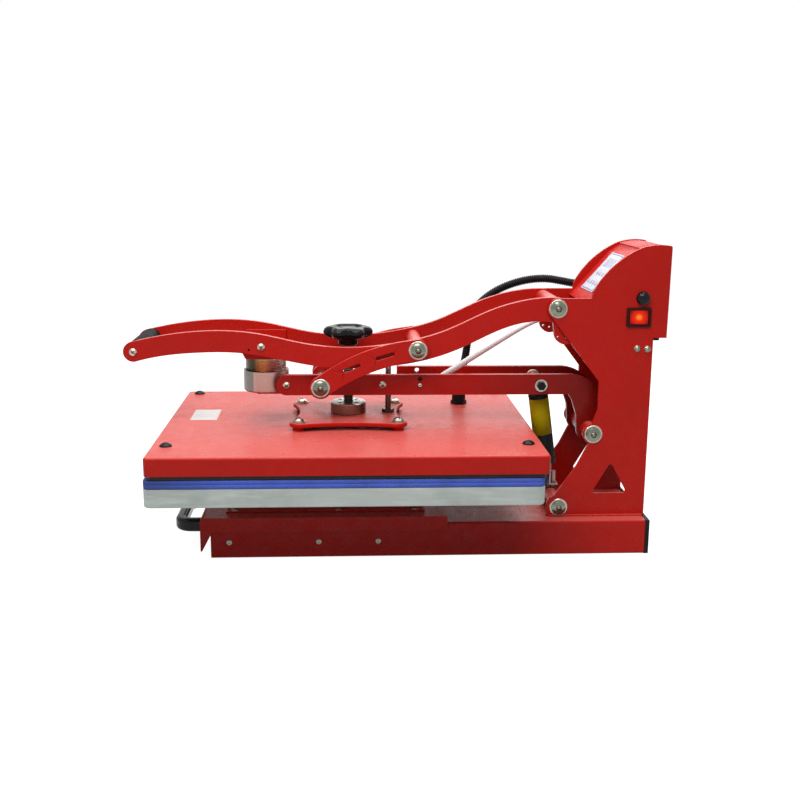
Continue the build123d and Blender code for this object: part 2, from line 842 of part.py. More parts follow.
def hand_wheel():
    reach = knob_radius - knob_lobe_radius
    outline = Circle(knob_radius - knob_waist)
    for index in range(knob_lobes):
        angle = 2 * pi * index / knob_lobes
        outline += spot((reach * cos(angle), reach * sin(angle)), knob_lobe_radius)
    outline = fillet(outline.vertices(), 4.5)
    wheel = extrude(Pos(0, 0, knob_bottom) * outline, amount=knob_height)
    rims = wheel.faces().sort_by(Axis.Z)
    wheel = fillet(rims[-1].outer_wire().edges() + rims[0].outer_wire().edges(), knob_rounding)
    top = knob_bottom + knob_height
    wheel -= rod_z((0, 0), knob_dish_radius, (top - knob_dish, top + 1))
    wheel += rod_z((0, 0), knob_hub_radius - 3.0, (top - knob_dish - 1, top - 1.5))
    wheel += rod_z((0, 0), knob_hub_radius, (knob_hub_bottom, knob_bottom))
    return wheel


def pressure_screw():
    screw = rod_z((0, 0), screw_radius, (screw_foot, knob_hub_bottom))
    return screw + rod_z(
        (0, 0), screw_collar_radius, (knob_hub_bottom - screw_collar_height, knob_hub_bottom)
    )


# Handle


def handle_outline():
    """The long wavy side plate, drawn in (x, z), ending in its pivot lug and stop lobe."""
    nose_x, nose_z = handle_nose
    top = [
        (nose_x - 3.3, nose_z + 12.9), *handle_top_line,
        (handle_pivot[0], handle_pivot[1] + lug_radius),
    ]
    bottom = [
        (handle_pivot[0] - 2.0, handle_pivot[1] - 19.5), *handle_bottom_line,
        (nose_x + 1.8, nose_z - 13.1),
    ]
    edge = Curve() + Spline(*top) + Line(top[-1], bottom[0]) + Spline(*bottom)
    edge += Line(bottom[-1], top[0])
    outline = make_face(edge) + spot(handle_nose, handle_nose_radius)
    outline += spot(handle_pivot, lug_radius) + spot(stop_lobe, stop_lobe_radius)
    web = Polyline(
        (handle_pivot[0] - 8.0, handle_pivot[1]), (handle_pivot[0] + 14.0, handle_pivot[1]),
        (stop_lobe[0] + 15.0, stop_lobe[1]), (stop_lobe[0] - 15.5, stop_lobe[1]), close=True,
    )
    return outline + make_face(web)


def handle_plate(side):
    outline = handle_outline()
    outline -= spot(handle_pivot, shaft_radius + shaft_play)
    for place in handle_holes:
        outline -= spot(place, handle_hole_radius)
    y = sorted((side * handle_inner, side * handle_outer))
    return side_plate(outline, y)


def handle_tubes():
    """The two tubes that hold the handle's side plates apart."""
    y = (-handle_inner, handle_inner)
    rear = rod_y(handle_pivot, cross_tube_radius, y)
    rear -= rod_y(handle_pivot, shaft_radius + shaft_play, (y[0] - 1, y[1] + 1))
    front = rod_y(link_top, front_tube_radius, y)
    return [rear, front - rod_y(link_top, front_tube_bore, (y[0] - 1, y[1] + 1))]


def front_grip():
    """The bar between the handle's side plates at its tip."""
    return rod_y(grip_place, grip_radius, (-handle_inner, handle_inner))


def magnet_bracket():
    """The U-shaped bracket that hangs the keeper between the handle's side plates."""
    front, rear = bracket_ends
    low, corner, high = bracket_floor, bracket_floor + 13.5, bracket_floor + 25.5
    floor = block((front + 8, rear), (-handle_inner + 3, handle_inner - 3), (low, low + 3.0))
    cheek = Polyline(
        (front, corner), (front + 8.0, low), (rear, low), (rear, high), (front, high), close=True
    )
    for y in both_sides(handle_inner - 3, handle_inner):
        floor += side_plate(make_face(cheek), y)
    return floor


def keeper():
    """The steel plate that the magnet holds, with its flange and the stud that hangs it."""
    place = (magnet_x, 0)
    plate = rod_z(place, keeper_radius, (magnet_top + flat_gap, keeper_top))
    flange = rod_z(place, keeper_flange_radius, (keeper_top, keeper_top + keeper_flange))
    spring_seat = rod_z(place, 12.0, (keeper_top + keeper_flange, bracket_floor))
    nut = extrude(Pos(magnet_x, 0, bracket_floor + 3.0) * RegularPolygon(8.0, 6), amount=6.0)
    return [plate + flange + spring_seat, nut]


def handle_bolts():
    places = (handle_nose, handle_bolt_place)
    head = button_head(*handle_bolt)
    return [
        face_y(head, place, side * handle_outer, side) for place in places for side in (-1, 1)
    ]


# Links


def link_outline():
    """A bowed bar from the arms up to the handle, with round ends."""
    run = Vector(link_top[0] - link_foot[0], link_top[1] - link_foot[1], 0)
    across = Vector(-run.Y, run.X, 0).normalized()
    middle = Vector(*link_foot, 0) + run * 0.46 + across * link_bow
    ends = (Vector(*link_foot, 0), Vector(*link_top, 0))
    shift = across * link_radius
    low = ThreePointArc(ends[0] - shift, middle - shift, ends[1] - shift)
    high = ThreePointArc(ends[0] + shift, middle + shift, ends[1] + shift)
    edge = Curve() + low + Line(ends[1] - shift, ends[1] + shift) + high
    edge += Line(ends[0] + shift, ends[0] - shift)
    outline = make_face(edge) + spot(link_foot, link_radius) + spot(link_top, link_radius)
    for middle, length, turn in link_slots:
        outline -= turned_slot(middle, length, link_slot_half, turn)
    return outline


def links():
    outline = link_outline() - spot(link_foot, shaft_radius + shaft_play)
    outline -= spot(link_top, shaft_radius)
    return [side_plate(outline, y) for y in both_sides(link_inner, link_outer)]


def link_bolts():
    """Shoulder bolts in the links' upper ends, clear of the handle's side plates."""
    bolts = []
    for side in (-1, 1):
        y = sorted((side * (link_inner + 0.1), side * link_outer))
        bolt = rod_y(link_top, shaft_radius, y)
        bolts.append(bolt + face_y(pivot_head(), link_top, side * link_outer, side))
    return bolts


# Gas spring, made upright with its upper eye at the origin, then tilted into place


def strut_lean():
    dx, dz = strut_foot[0] - strut_head[0], strut_head[1] - strut_foot[1]
    return degrees(atan2_of(dx, dz))


def hang_strut(part):
    return Pos(strut_head[0], 0, strut_head[1]) * Rot(0, -strut_lean(), 0) * part


def strut_reach():
    return hypot(strut_foot[0] - strut_head[0], strut_foot[1] - strut_head[1])


def gas_cylinder():
    half = strut_eye_width / 2
    body_top = -strut_shoulder
    body = rod_z((0, 0), strut_radius, (-strut_length, body_top))
    body = chamfer(body.edges().filter_by(GeomType.CIRCLE), 1.5)
    body -= rod_z((0, 0), strut_bore, (-strut_length + strut_end, body_top - strut_wall))
    body -= rod_z((0, 0), strut_rod_radius + shaft_play, (-strut_length - 1, -strut_length + 7))
    body += rod_z((0, 0), 6.0, (body_top - 1, -8.0))
    eye = rod_y((0, 0), strut_eye_radius - 2.0, (-half, half))
    body += eye
    return hang_strut(body - rod_y((0, 0), strut_pin_radius + shaft_play, (-half - 1, half + 1)))


def gas_rod():
    """The rod with its piston; its lower eye is slotted, because it is the open pivot."""
    reach = strut_reach()
    half = strut_eye_width / 2
    piston_top = -strut_length + strut_end + strut_travel + piston_length
    rod = rod_z((0, 0), strut_rod_radius, (-reach + 14.0, piston_top))
    rod += rod_z((0, 0), strut_bore - 0.1, (piston_top - piston_length, piston_top))
    eye = thick_line((0, -reach), (0, -reach - strut_slot), strut_eye_radius)
    slot = thick_line((0, -reach), (0, -reach - strut_slot), shaft_radius + 0.6)
    neck = rod_z((0, 0), 7.0, (-reach + strut_eye_radius - 3.0, -reach + 20.0))
    body = rod + neck + side_plate(eye, (-half, half))
    return hang_strut(body - side_plate(slot, (-half - 1, half + 1)))


# Column and control box


def column_outline():
    """One side plate, drawn in (x, z): foot, neck, pivot lugs and the control box's cheek."""
    top = handle_pivot[1] + handle_lug
    foot = tube_height
    front = [
        (handle_pivot[0] - 8.0, handle_pivot[1] - 11.5), *column_neck,
        (arm_pivot[0] - 2.0, arm_pivot[1] + 15.0), (arm_pivot[0] - 5.0, arm_pivot[1] - 12.0),
        *column_slope,
    ]
    rear = [
        (column_rear, foot), (column_rear, box_bottom), (box_rear, box_bottom),
        (box_rear + 1.0, box_top),
    ]
    edge = Curve() + Polyline(*front, *rear)
    edge += ThreePointArc(rear[-1], cheek_crown, cheek_step)
    edge += ThreePointArc(cheek_step, cheek_bulge, cheek_chin)
    shelf = (cheek_chin[0] - 1.0, top)
    edge += Polyline(cheek_chin, shelf, (handle_pivot[0], top), front[0])
    outline = make_face(edge)
    rear_corner = outline.vertices().sort_by_distance((*rear[-1], 0))[0]
    outline = fillet(rear_corner, 2.5)
    outline += spot(handle_pivot, handle_lug) + spot(arm_pivot, arm_lug)
    lug = spot(strut_foot, foot_lug) & (Pos(strut_foot[0], foot + 40) * Rectangle(80, 80))
    outline += lug
    window = Polyline(*column_window, close=True)
    return outline - fillet(make_face(window).vertices(), 3.0)


def column_plate(side):
    outline = column_outline()
    for place in (handle_pivot, arm_pivot, strut_foot):
        outline -= spot(place, shaft_radius + shaft_play)
    if side < 0:
        body = Pos(*switch_centre) * Rectangle(switch_size[0] - 5, switch_size[1] - 5)
        outline -= body
        outline -= spot(reset_centre, reset_shank)
    y = sorted((side * column_inner, side * column_outer))
    return side_plate(outline, y)


def column_back():
    """The web that joins the two side plates down the back, open below for the leads."""
    x = (column_rear - web_thickness, column_rear)
    return block(x, (-column_inner, column_inner), (web_foot, box_bottom))


def on_front(along, depth=0.0):
    """A point on the box's sloping front: this far up from the film's foot, and set back."""
    run = Vector(*panel_high) - Vector(*panel_low)
    up = run.normalized()
    at = Vector(*panel_low) + up * along + Vector(up.Y, -up.X) * depth
    return (at.X, at.Y)


def front_length():
    return (Vector(*panel_high) - Vector(*panel_low)).length


def hood():
    """The folded sheet that closes the control box between its cheeks."""
    set_back = panel_film + panel_glue
    lip = on_front(-lip_run, set_back)
    brow = on_front(front_length(), set_back)
    step = (crest[0], crest[1] + 2.2)
    rear_top = (box_rear + 0.8, box_top - 1.5)
    outer = Curve() + Polyline(
        lip, (floor_front, box_bottom + 0.2), (box_rear, box_bottom + 0.2), rear_top
    )
    outer += ThreePointArc(rear_top, (cheek_crown[0], cheek_crown[1] - 1.2), step)
    outer += Polyline(step, crest, brow, lip)
    face = make_face(outer)
    hollow = offset(face, amount=-box_sheet, kind=Kind.INTERSECTION)
    y = (-column_inner, column_inner)
    return side_plate(face, y) - side_plate(hollow, (y[0] - 1, y[1] + 1))


def control_panel():
    """The keypad film on the hood's sloping face."""
    end = front_length()
    corners = (on_front(0), on_front(end), on_front(end, panel_film), on_front(0, panel_film))
    film = make_face(Polyline(*corners, close=True))
    return side_plate(film, (-panel_half_width, panel_half_width))


def controller():
    """The temperature and timer controller inside the box."""
    rear, middle = box_rear - 14.5, box_bottom + 48.0
    case = block((rear - 34.0, rear), (-30.0, 40.0), (middle, middle + 40.0))
    floor = box_bottom + box_sheet + 0.4
    return case + block((rear - 30.0, rear - 4.0), (-20.0, 30.0), (floor, middle))


def switch_bezels():
    """The rocker's frame and the breaker's threaded collar, on the near cheek."""
    y = (-column_outer - bezel_height, -column_outer)
    frame = Pos(*switch_centre) * RectangleRounded(switch_size[0], switch_size[1], 2.0)
    opening = Pos(*switch_centre) * Rectangle(*switch_opening)
    bezel = side_plate(frame, y)
    tub = Pos(*switch_centre) * Rectangle(switch_size[0] - 5, switch_size[1] - 5)
    bezel += side_plate(tub, (-column_outer, -column_outer + 16.0))
    bezel -= side_plate(opening, (y[0] - 1, -column_outer + 14.0))
    pin = rocker_pin(switch_pin + shaft_play, 0.9)
    bezel -= pin
    collar = rod_y(reset_centre, reset_collar_radius, (-column_outer - 2.2, -column_outer))
    collar += rod_y(reset_centre, reset_shank, (-column_outer, -column_outer + 12.0))
    collar -= rod_y(
        reset_centre, reset_stem + shaft_play, (-column_outer - 3, -column_outer + 10.0)
    )
    return [bezel, collar]


def rocker_pin(radius, past):
    """The upright pin that the rocker turns on, this far past its opening."""
    place = (switch_centre[0], -column_outer + switch_pivot_depth)
    half = switch_opening[1] / 2 + past
    return rod_z(place, radius, (switch_centre[1] - half, switch_centre[1] + half))


def switch_rocker():
    """A rocker that turns about the middle of its frame; its rear half stands proud."""
    outline = Polyline(
        (-12.3, -3.9), (0, -3.2), (11.6, -6.2), (9.5, 4.0), (-9.5, 4.0), close=True
    )
    half = switch_opening[1] / 2 - flat_gap
    rocker = extrude(make_face(outline), amount=half, both=True)
    place = Pos(switch_centre[0], -column_outer + switch_pivot_depth, switch_centre[1])
    return place * rocker + rocker_pin(switch_pin, 0.7)


def reset_button():
    """The breaker's domed push button."""
    y = -column_outer - 2.2 - reset_travel - flat_gap
    cap = face_y(dome(reset_radius, 4.5, 3.6), reset_centre, y, -1)
    stem = rod_y(reset_centre, reset_stem, (y, -column_outer + 6.0))
    return cap + stem


def glands():
    """The elbow on the far side for the head's conduit, and the mains gland under the box."""
    x, y, z = elbow_mouth
    mouth = rod_x((y, z), mouth_radius, (x, x + elbow_run))
    elbow = rod_y((x + elbow_run, z), elbow_radius, (column_outer, y + elbow_radius + 1.0))
    mains = rod_z(mains_gland, mains_gland_radius, (box_bottom - 6.0, box_bottom))
    return [mouth + elbow, mains]


def column_spacers():
    """Tubes on the lower shaft that centre the gas spring's foot."""
    tubes = []
    half = strut_eye_width / 2 + flat_gap
    for y in both_sides(half, column_inner):
        tube = rod_y(strut_foot, foot_spacer_radius, y)
        tubes.append(tube - rod_y(strut_foot, shaft_radius + shaft_play, (y[0] - 1, y[1] + 1)))
    return tubes


def frame_bolts():
    """The pivot bolts in the column, the two bolts under the switch and the slide screws."""
    bolts = []
    for place in (handle_pivot, arm_pivot, strut_foot):
        bolt = rod_y(place, shaft_radius, (-column_outer - 0.2, column_outer + 0.2))
        for side in (-1, 1):
            bolt += face_y(pivot_head(), place, side * column_outer, side)
        bolts.append(bolt)
    slide_head, plate_head = button_head(*slide_screw), button_head(*plate_bolt)
    for side in (-1, 1):
        for x in rail_screw_places:
            bolts.append(face_y(slide_head, (x, rail_screw_height), side * tube_outer, side))
        for place in plate_bolt_places:
            bolts.append(face_y(plate_head, place, side * column_outer, side))
    return bolts


# Leads


def fillet_radii(points):
    """The largest sensible arc at each inner point: 0.45 of the shorter run over tan(turn / 2)."""
    radii = []
    for before, here, after in zip(points, points[1:], points[2:]):
        run_in, run_out = Vector(*here) - Vector(*before), Vector(*after) - Vector(*here)
        turn = radians(run_in.get_angle(run_out))
        radii.append(0.45 * min(run_in.length, run_out.length) / tan(turn / 2))
    return radii


def lead(points, radius):
    """A round lead along straight runs joined by tangent arcs."""
    path = FilletPolyline(*points, radius=fillet_radii(points))
    start = Plane(points[0], z_dir=Vector(*points[1]) - Vector(*points[0]))
    return sweep(start * Circle(radius), path=path)


conduit_route = [
    (166.0, 102.0, cover_gland_top), (166.0, 102.0, 209.0), (173.0, 101.0, 232.0),
    (177.5, 99.5, 262.0), (178.0, 97.0, 292.0), (187.0, 94.5, 318.0), (208.0, 92.5, 338.0),
    (234.0, 91.5, 351.5), (262.0, 91.0, 359.5), (290.0, 91.2, 361.5), (314.0, 91.0, 357.5),
    (334.0, 91.0, 353.5), elbow_mouth,
]

sleeve_route = [
    clip_end, (112.0, -19.0, 225.5), (131.0, -18.0, 238.0), (170.0, -14.0, 261.5),
    (210.0, -9.5, 286.0), (246.0, -5.0, 307.5), (272.0, -2.0, 314.0), (300.0, 0.0, 318.5),
    (325.3, 0.0, 329.6),
]

nodes = {
    "base_tube_near": base_tube(-1),
    "base_tube_far": base_tube(1),
    "tube_end_caps": tube_caps(),
    "base_crossbars": crossbars(),
    "slide_rails_fixed": fixed_rails(),
    "slide_rails_moving": moving_rails(),
    "drawer_tray": drawer_tray(),
    "drawer_grip": drawer_grip(),
    "platen_risers": risers(),
    "riser_bolts": riser_bolts(),
    "lower_platen": lower_platen(),
    "silicone_pad": silicone_pad(),
    "upper_cover": upper_cover(),
    "heat_platen": heat_platen(),
    "insulation_board": insulation_board(),
    "spider_plate": spider_plate(),
    "spider_bolts": spider_bolts(),
    "screw_hub": screw_hub(),
    "guide_rod": guide_rod(),
    "cover_screws": cover_screws(),
    "cover_gland": cover_gland(),
    "probe_bracket": probe_bracket(),
    "arm_near": arm(-1),
    "arm_far": arm(1),
    "arm_blocks": arm_blocks(),
    "magnet_block": magnet_block(),
    "magnet_cup": magnet_cup(),
    "magnet_coil": magnet_coil(),
    "arm_bolts": arm_bolts(),
    "link_pin": link_pin(),
    "strut_pin": strut_pin(),
    "arm_sleeves": arm_sleeves(),
    "sleeve_clip": sleeve_clip(),
    "hand_wheel": hand_wheel(),
    "pressure_screw": pressure_screw(),
    "handle_plate_near": handle_plate(-1),
    "handle_plate_far": handle_plate(1),
    "handle_tubes": handle_tubes(),
    "front_grip": front_grip(),
    "magnet_bracket": magnet_bracket(),
    "magnet_keeper": keeper(),
    "handle_bolts": handle_bolts(),
    "links": links(),
    "link_bolts": link_bolts(),
    "gas_cylinder": gas_cylinder(),
    "gas_rod": gas_rod(),
    "column_plate_near": column_plate(-1),
    "column_plate_far": column_plate(1),
    "column_back": column_back(),
    "column_spacers": column_spacers(),
    "frame_bolts": frame_bolts(),
    "control_hood": hood(),
    "control_panel": control_panel(),
    "controller": controller(),
    "switch_bezels": switch_bezels(),
    "switch_rocker": switch_rocker(),
    "reset_button": reset_button(),
    "glands": glands(),
    "head_conduit": lead(conduit_route, conduit_radius),
    "head_sleeve": lead(sleeve_route, sleeve_radius),
}

os.makedirs("parts", exist_ok=True)
for node, shape in nodes.items():
    whole = Compound(children=list(shape)) if isinstance(shape, (list, tuple)) else shape
    export_step(whole, f"parts/{node}.step")
print(len(nodes), "nodes")
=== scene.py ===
"""The looks of a slide-out clamshell heat press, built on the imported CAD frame."""
import json
import math

import bpy
from mathutils import Matrix, Vector


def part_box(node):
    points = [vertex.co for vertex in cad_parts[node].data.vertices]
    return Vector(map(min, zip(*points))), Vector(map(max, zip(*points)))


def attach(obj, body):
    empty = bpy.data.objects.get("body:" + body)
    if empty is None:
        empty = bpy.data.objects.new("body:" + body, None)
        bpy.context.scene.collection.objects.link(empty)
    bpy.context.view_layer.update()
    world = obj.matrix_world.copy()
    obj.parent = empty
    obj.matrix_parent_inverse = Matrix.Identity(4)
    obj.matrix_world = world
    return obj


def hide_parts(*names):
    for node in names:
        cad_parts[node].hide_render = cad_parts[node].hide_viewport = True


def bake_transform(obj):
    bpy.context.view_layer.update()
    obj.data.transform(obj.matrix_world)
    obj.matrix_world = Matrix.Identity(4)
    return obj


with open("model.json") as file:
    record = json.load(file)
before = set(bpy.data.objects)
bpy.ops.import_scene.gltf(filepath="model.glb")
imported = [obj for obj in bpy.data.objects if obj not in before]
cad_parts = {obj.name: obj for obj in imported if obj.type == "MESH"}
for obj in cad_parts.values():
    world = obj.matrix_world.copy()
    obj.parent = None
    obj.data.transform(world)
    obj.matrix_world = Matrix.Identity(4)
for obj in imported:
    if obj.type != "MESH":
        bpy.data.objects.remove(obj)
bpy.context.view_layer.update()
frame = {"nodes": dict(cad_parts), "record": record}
nodes = frame["nodes"]
scene = bpy.context.scene
MM = 0.001

# Pivots of the linkage, as (x, z) in millimetres
HANDLE_PIVOT, ARM_PIVOT = (278.5, 336), (333, 164.5)
LINK_TOP, LINK_FOOT = (92.8, 280.5), (-37, 230)
STRUT_HEAD, STRUT_FOOT = (264.5, 226.8), (289, 60.9)


# Materials: every one is built from its object coordinates, in metres


def linear(red, green, blue):
    """A colour given as it shows on a screen, 0-255, as linear light."""
    return tuple(
        c / 12.92 if c <= 0.04045 else ((c + 0.055) / 1.055) ** 2.4
        for c in (v / 255 for v in (red, green, blue))
    )


class Shader:
    """A principled material and the few node patterns that it is made from."""

    def __init__(self, name, colour, roughness, **sockets):
        self.material = bpy.data.materials.new(name)
        self.material.use_nodes = True
        self.tree = self.material.node_tree
        self.bsdf = self.tree.nodes["Principled BSDF"]
        self.colour = linear(*colour)
        self.base = None
        self.height = None
        self.bsdf.inputs["Base Color"].default_value = (*self.colour, 1)
        self.bsdf.inputs["Roughness"].default_value = roughness
        for socket, value in sockets.items():
            self.bsdf.inputs[socket.replace("_", " ")].default_value = value
        self.place = self.tree.nodes.new("ShaderNodeTexCoord").outputs["Object"]

    def node(self, kind, **settings):
        made = self.tree.nodes.new(kind)
        for key, value in settings.items():
            setattr(made, key, value)
        return made

    def join(self, source, target):
        self.tree.links.new(source, target)

    def noise(self, scale, detail=3.0, stretch=None, roughness=0.55):
        """Noise with about this many bumps a metre; stretch scales each axis."""
        place = self.place
        if stretch:
            mapping = self.node("ShaderNodeMapping")
            mapping.inputs["Scale"].default_value = stretch
            self.join(self.place, mapping.inputs["Vector"])
            place = mapping.outputs["Vector"]
        noise = self.node("ShaderNodeTexNoise")
        noise.inputs["Scale"].default_value = scale
        noise.inputs["Detail"].default_value = detail
        noise.inputs["Roughness"].default_value = roughness
        self.join(place, noise.inputs["Vector"])
        return noise.outputs["Fac"]

    def ramp(self, factor, low, high, start=0.0, end=1.0):
        """Maps factor from low..high to start..end, clamped."""
        mapped = self.node("ShaderNodeMapRange")
        mapped.inputs["From Min"].default_value = low
        mapped.inputs["From Max"].default_value = high
        mapped.inputs["To Min"].default_value = start
        mapped.inputs["To Max"].default_value = end
        self.join(factor, mapped.inputs["Value"])
        return mapped.outputs["Result"]

    def tint(self, factor, colour, amount=1.0):
        """Mixes another colour in where factor is high."""
        mix = self.node("ShaderNodeMix", data_type="RGBA")
        scaled = self.ramp(factor, 0, 1, 0, amount)
        self.join(scaled, mix.inputs[0])
        if self.base is None:
            mix.inputs[6].default_value = (*self.colour, 1)
        else:
            self.join(self.base, mix.inputs[6])
        mix.inputs[7].default_value = (*linear(*colour), 1)
        self.base = mix.outputs[2]
        self.join(self.base, self.bsdf.inputs["Base Color"])
        return self

    def rough(self, factor, low, high):
        self.join(self.ramp(factor, 0.3, 0.7, low, high), self.bsdf.inputs["Roughness"])
        return self

    def bump(self, factor, depth, strength=1.0):
        """Raises the surface by depth metres where factor is high."""
        bump = self.node("ShaderNodeBump")
        bump.inputs["Distance"].default_value = depth
        bump.inputs["Strength"].default_value = strength
        self.join(factor, bump.inputs["Height"])
        if self.height is not None:
            self.join(self.height, bump.inputs["Normal"])
        self.height = bump.outputs["Normal"]
        self.join(self.height, self.bsdf.inputs["Normal"])
        return self

    def axis(self, name):
        """One coordinate in metres."""
        split = self.node("ShaderNodeSeparateXYZ")
        self.join(self.place, split.inputs[0])
        return split.outputs[name]

    def across(self):
        """The distance from the centre plane, in metres."""
        size = self.node("ShaderNodeMath", operation="ABSOLUTE")
        self.join(self.axis("Y"), size.inputs[0])
        return size.outputs[0]

    def near(self, centre, level=False):
        """The distance from a point in metres; level leaves height out."""
        place = self.place
        if level:
            flat = self.node("ShaderNodeVectorMath", operation="MULTIPLY")
            flat.inputs[1].default_value = (1, 1, 0)
            self.join(place, flat.inputs[0])
            place = flat.outputs[0]
        gap = self.node("ShaderNodeVectorMath", operation="DISTANCE")
        self.join(place, gap.inputs[0])
        gap.inputs[1].default_value = centre
        return gap.outputs["Value"]

    def both(self, one, other):
        """High only where both factors are."""
        product = self.node("ShaderNodeMath", operation="MULTIPLY")
        self.join(one, product.inputs[0])
        self.join(other, product.inputs[1])
        return product.outputs[0]

    def facing_up(self):
        """1 on level tops, 0 on upright sides."""
        split = self.node("ShaderNodeSeparateXYZ")
        self.join(self.node("ShaderNodeNewGeometry").outputs["Normal"], split.inputs[0])
        return self.ramp(split.outputs["Z"], 0.75, 0.98)

    def wave(self, scale, direction="Z", distortion=0.0):
        """Straight bands, scale of them to each 0.3 m or so."""
        wave = self.node("ShaderNodeTexWave", bands_direction=direction)
        wave.inputs["Scale"].default_value = scale
        wave.inputs["Distortion"].default_value = distortion
        wave.inputs["Detail"].default_value = 1.0
        self.join(self.place, wave.inputs["Vector"])
        return wave.outputs["Fac"]


def powder_coat(name, colour, gloss=0.3, top_sheen=0.5):
    """Orange-peel powder coat with faint mottling and a painted sheen that lightens level tops."""
    s = Shader(name, colour, gloss, IOR=1.24)
    s.tint(s.ramp(s.noise(9, 4), 0.42, 0.68), (150, 22, 15), 0.3)
    s.tint(s.ramp(s.noise(420, 2), 0.6, 0.74), (196, 52, 42), 0.22)
    # Painted sheen: level tops are tinted lighter and pinker, for the overhead lamp's reflection.
    s.tint(s.facing_up(), (204, 108, 101), top_sheen)
    s.rough(s.noise(60, 4), gloss - 0.06, gloss + 0.12)
    s.bump(s.noise(520, 2, roughness=0.4), 0.00022)
    return s.bump(s.noise(1500, 1), 0.00004)


def metal(name, colour, roughness, grain=(1, 1, 1), stain=(120, 116, 105)):
    """Bare or plated metal with drawn grain, faint stains and small scratches."""
    s = Shader(name, colour, roughness, Metallic=1.0)
    s.tint(s.ramp(s.noise(35, 4), 0.48, 0.72), stain, 0.5)
    s.rough(s.noise(240, 4, stretch=grain), roughness - 0.08, roughness + 0.14)
    return s.bump(s.noise(600, 3, stretch=grain), 0.00006)


def plastic(name, colour, roughness, grain=900, depth=0.00003, worn=(60, 60, 60)):
    """Moulded plastic with fine texture and a few rubbed places."""
    s = Shader(name, colour, roughness, IOR=1.2)
    s.tint(s.ramp(s.noise(45, 4), 0.56, 0.76), worn, 0.25)
    s.rough(s.noise(70, 4), max(roughness - 0.05, 0.03), roughness + 0.12)
    return s.bump(s.noise(grain, 2), depth)


red = powder_coat("red powder coat", (176, 24, 16)).material
hood_paint = powder_coat("hood powder coat", (184, 34, 30), top_sheen=0.0)
hood_paint.bsdf.inputs["IOR"].default_value = 1.12
# Painted shade: the arms get a darker copy of the red, darkened further towards the rear at higher
# X.
arm_shaded_paint = powder_coat("arm powder coat", (158, 20, 13))
arm_shaded_paint.tint(arm_shaded_paint.ramp(arm_shaded_paint.axis("X"), 0.16, 0.31), (104, 14, 9), 0.75)

platen = Shader("brushed platen", (152, 158, 154), 0.42, Metallic=0.75)
platen.tint(platen.ramp(platen.noise(22, 5), 0.45, 0.75), (124, 131, 127), 0.55)
scratches = platen.noise(160, 3, stretch=(0.15, 0.15, 1))
platen.tint(platen.ramp(scratches, 0.5, 0.8), (186, 190, 186), 0.4)
platen.rough(platen.noise(200, 4, stretch=(0.08, 0.08, 1)), 0.34, 0.58)
platen.bump(platen.noise(420, 3, stretch=(0.1, 0.1, 1)), 0.00008)

coated = Shader("non-stick plate", (38, 34, 34), 0.3, IOR=1.25)
coated.tint(coated.ramp(coated.noise(18, 4), 0.5, 0.75), (66, 60, 54), 0.4)
coated.rough(coated.noise(90, 4), 0.22, 0.45).bump(coated.noise(900, 2), 0.00005)

sponge = Shader("silicone sponge", (62, 88, 186), 0.75)
sponge.tint(sponge.ramp(sponge.noise(26, 4), 0.45, 0.7), (44, 60, 130), 0.5)
sponge.tint(sponge.ramp(sponge.noise(700, 2), 0.55, 0.75), (120, 140, 205), 0.45)
# Painted shade: the pad darkens towards its left end, at low X.
sponge.tint(sponge.ramp(sponge.axis("X"), -0.15, -0.24), (28, 44, 92), 0.7)
sponge.bump(sponge.noise(850, 3), 0.00035)

zinc = metal("zinc plate", (172, 166, 154), 0.24, stain=(128, 120, 102)).material
dark = metal("blackened steel", (84, 70, 62), 0.4, stain=(48, 40, 36)).material
magnet_x = sum(corner[0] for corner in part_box("magnet_cup")) / 2
bronzed = Shader("keeper steel", (158, 128, 78), 0.3, Metallic=1.0)
bronzed.tint(bronzed.ramp(bronzed.noise(30, 3), 0.45, 0.7), (128, 100, 58), 0.6)
# Painted shade and highlight across the round keeper: dark on its left side at low X, lighter
# right of its axis, and a silver painted highlight at its right edge.
for start, end, colour in (
    (-0.006, -0.015, (58, 54, 40)), (0.0, 0.006, (138, 106, 90)), (0.010, 0.017, (188, 180, 174)),
):
    place = bronzed.axis("X")
    bronzed.tint(bronzed.ramp(place, magnet_x + start, magnet_x + end), colour)
bronzed.rough(bronzed.noise(300, 2, stretch=(0.2, 0.2, 4)), 0.22, 0.4)
bronzed.bump(bronzed.wave(150, "Z"), 0.00004)
chrome = metal("chrome rod", (212, 212, 215), 0.09, stain=(180, 180, 182)).material
cup = Shader("turned cup", (176, 142, 133), 0.34, Metallic=0.9)
cup.tint(cup.ramp(cup.noise(24, 4), 0.45, 0.72), (158, 126, 118), 0.5)
# Painted shade: the cup's left edge, at low X, is darker.
cup.tint(cup.ramp(cup.axis("X"), magnet_x - 0.0150, magnet_x - 0.0165), (120, 114, 110))
cup.rough(cup.noise(260, 3, stretch=(0.3, 0.3, 5)), 0.26, 0.46)
cup.bump(cup.noise(500, 2, stretch=(0.2, 0.2, 5)), 0.00005)


def two_tone(name, low, high, at, roughness=0.34):
    """Dark steel below a height in metres and bright steel above it."""
    s = Shader(name, low, roughness, Metallic=1.0)
    s.tint(s.ramp(s.noise(60, 4), 0.45, 0.7), [v * 0.6 for v in low], 0.5)
    s.tint(s.ramp(s.axis("Z"), at - 0.0002, at + 0.0002), high)
    s.rough(s.noise(240, 3), roughness - 0.1, roughness + 0.12)
    return s.bump(s.noise(500, 3), 0.00006)


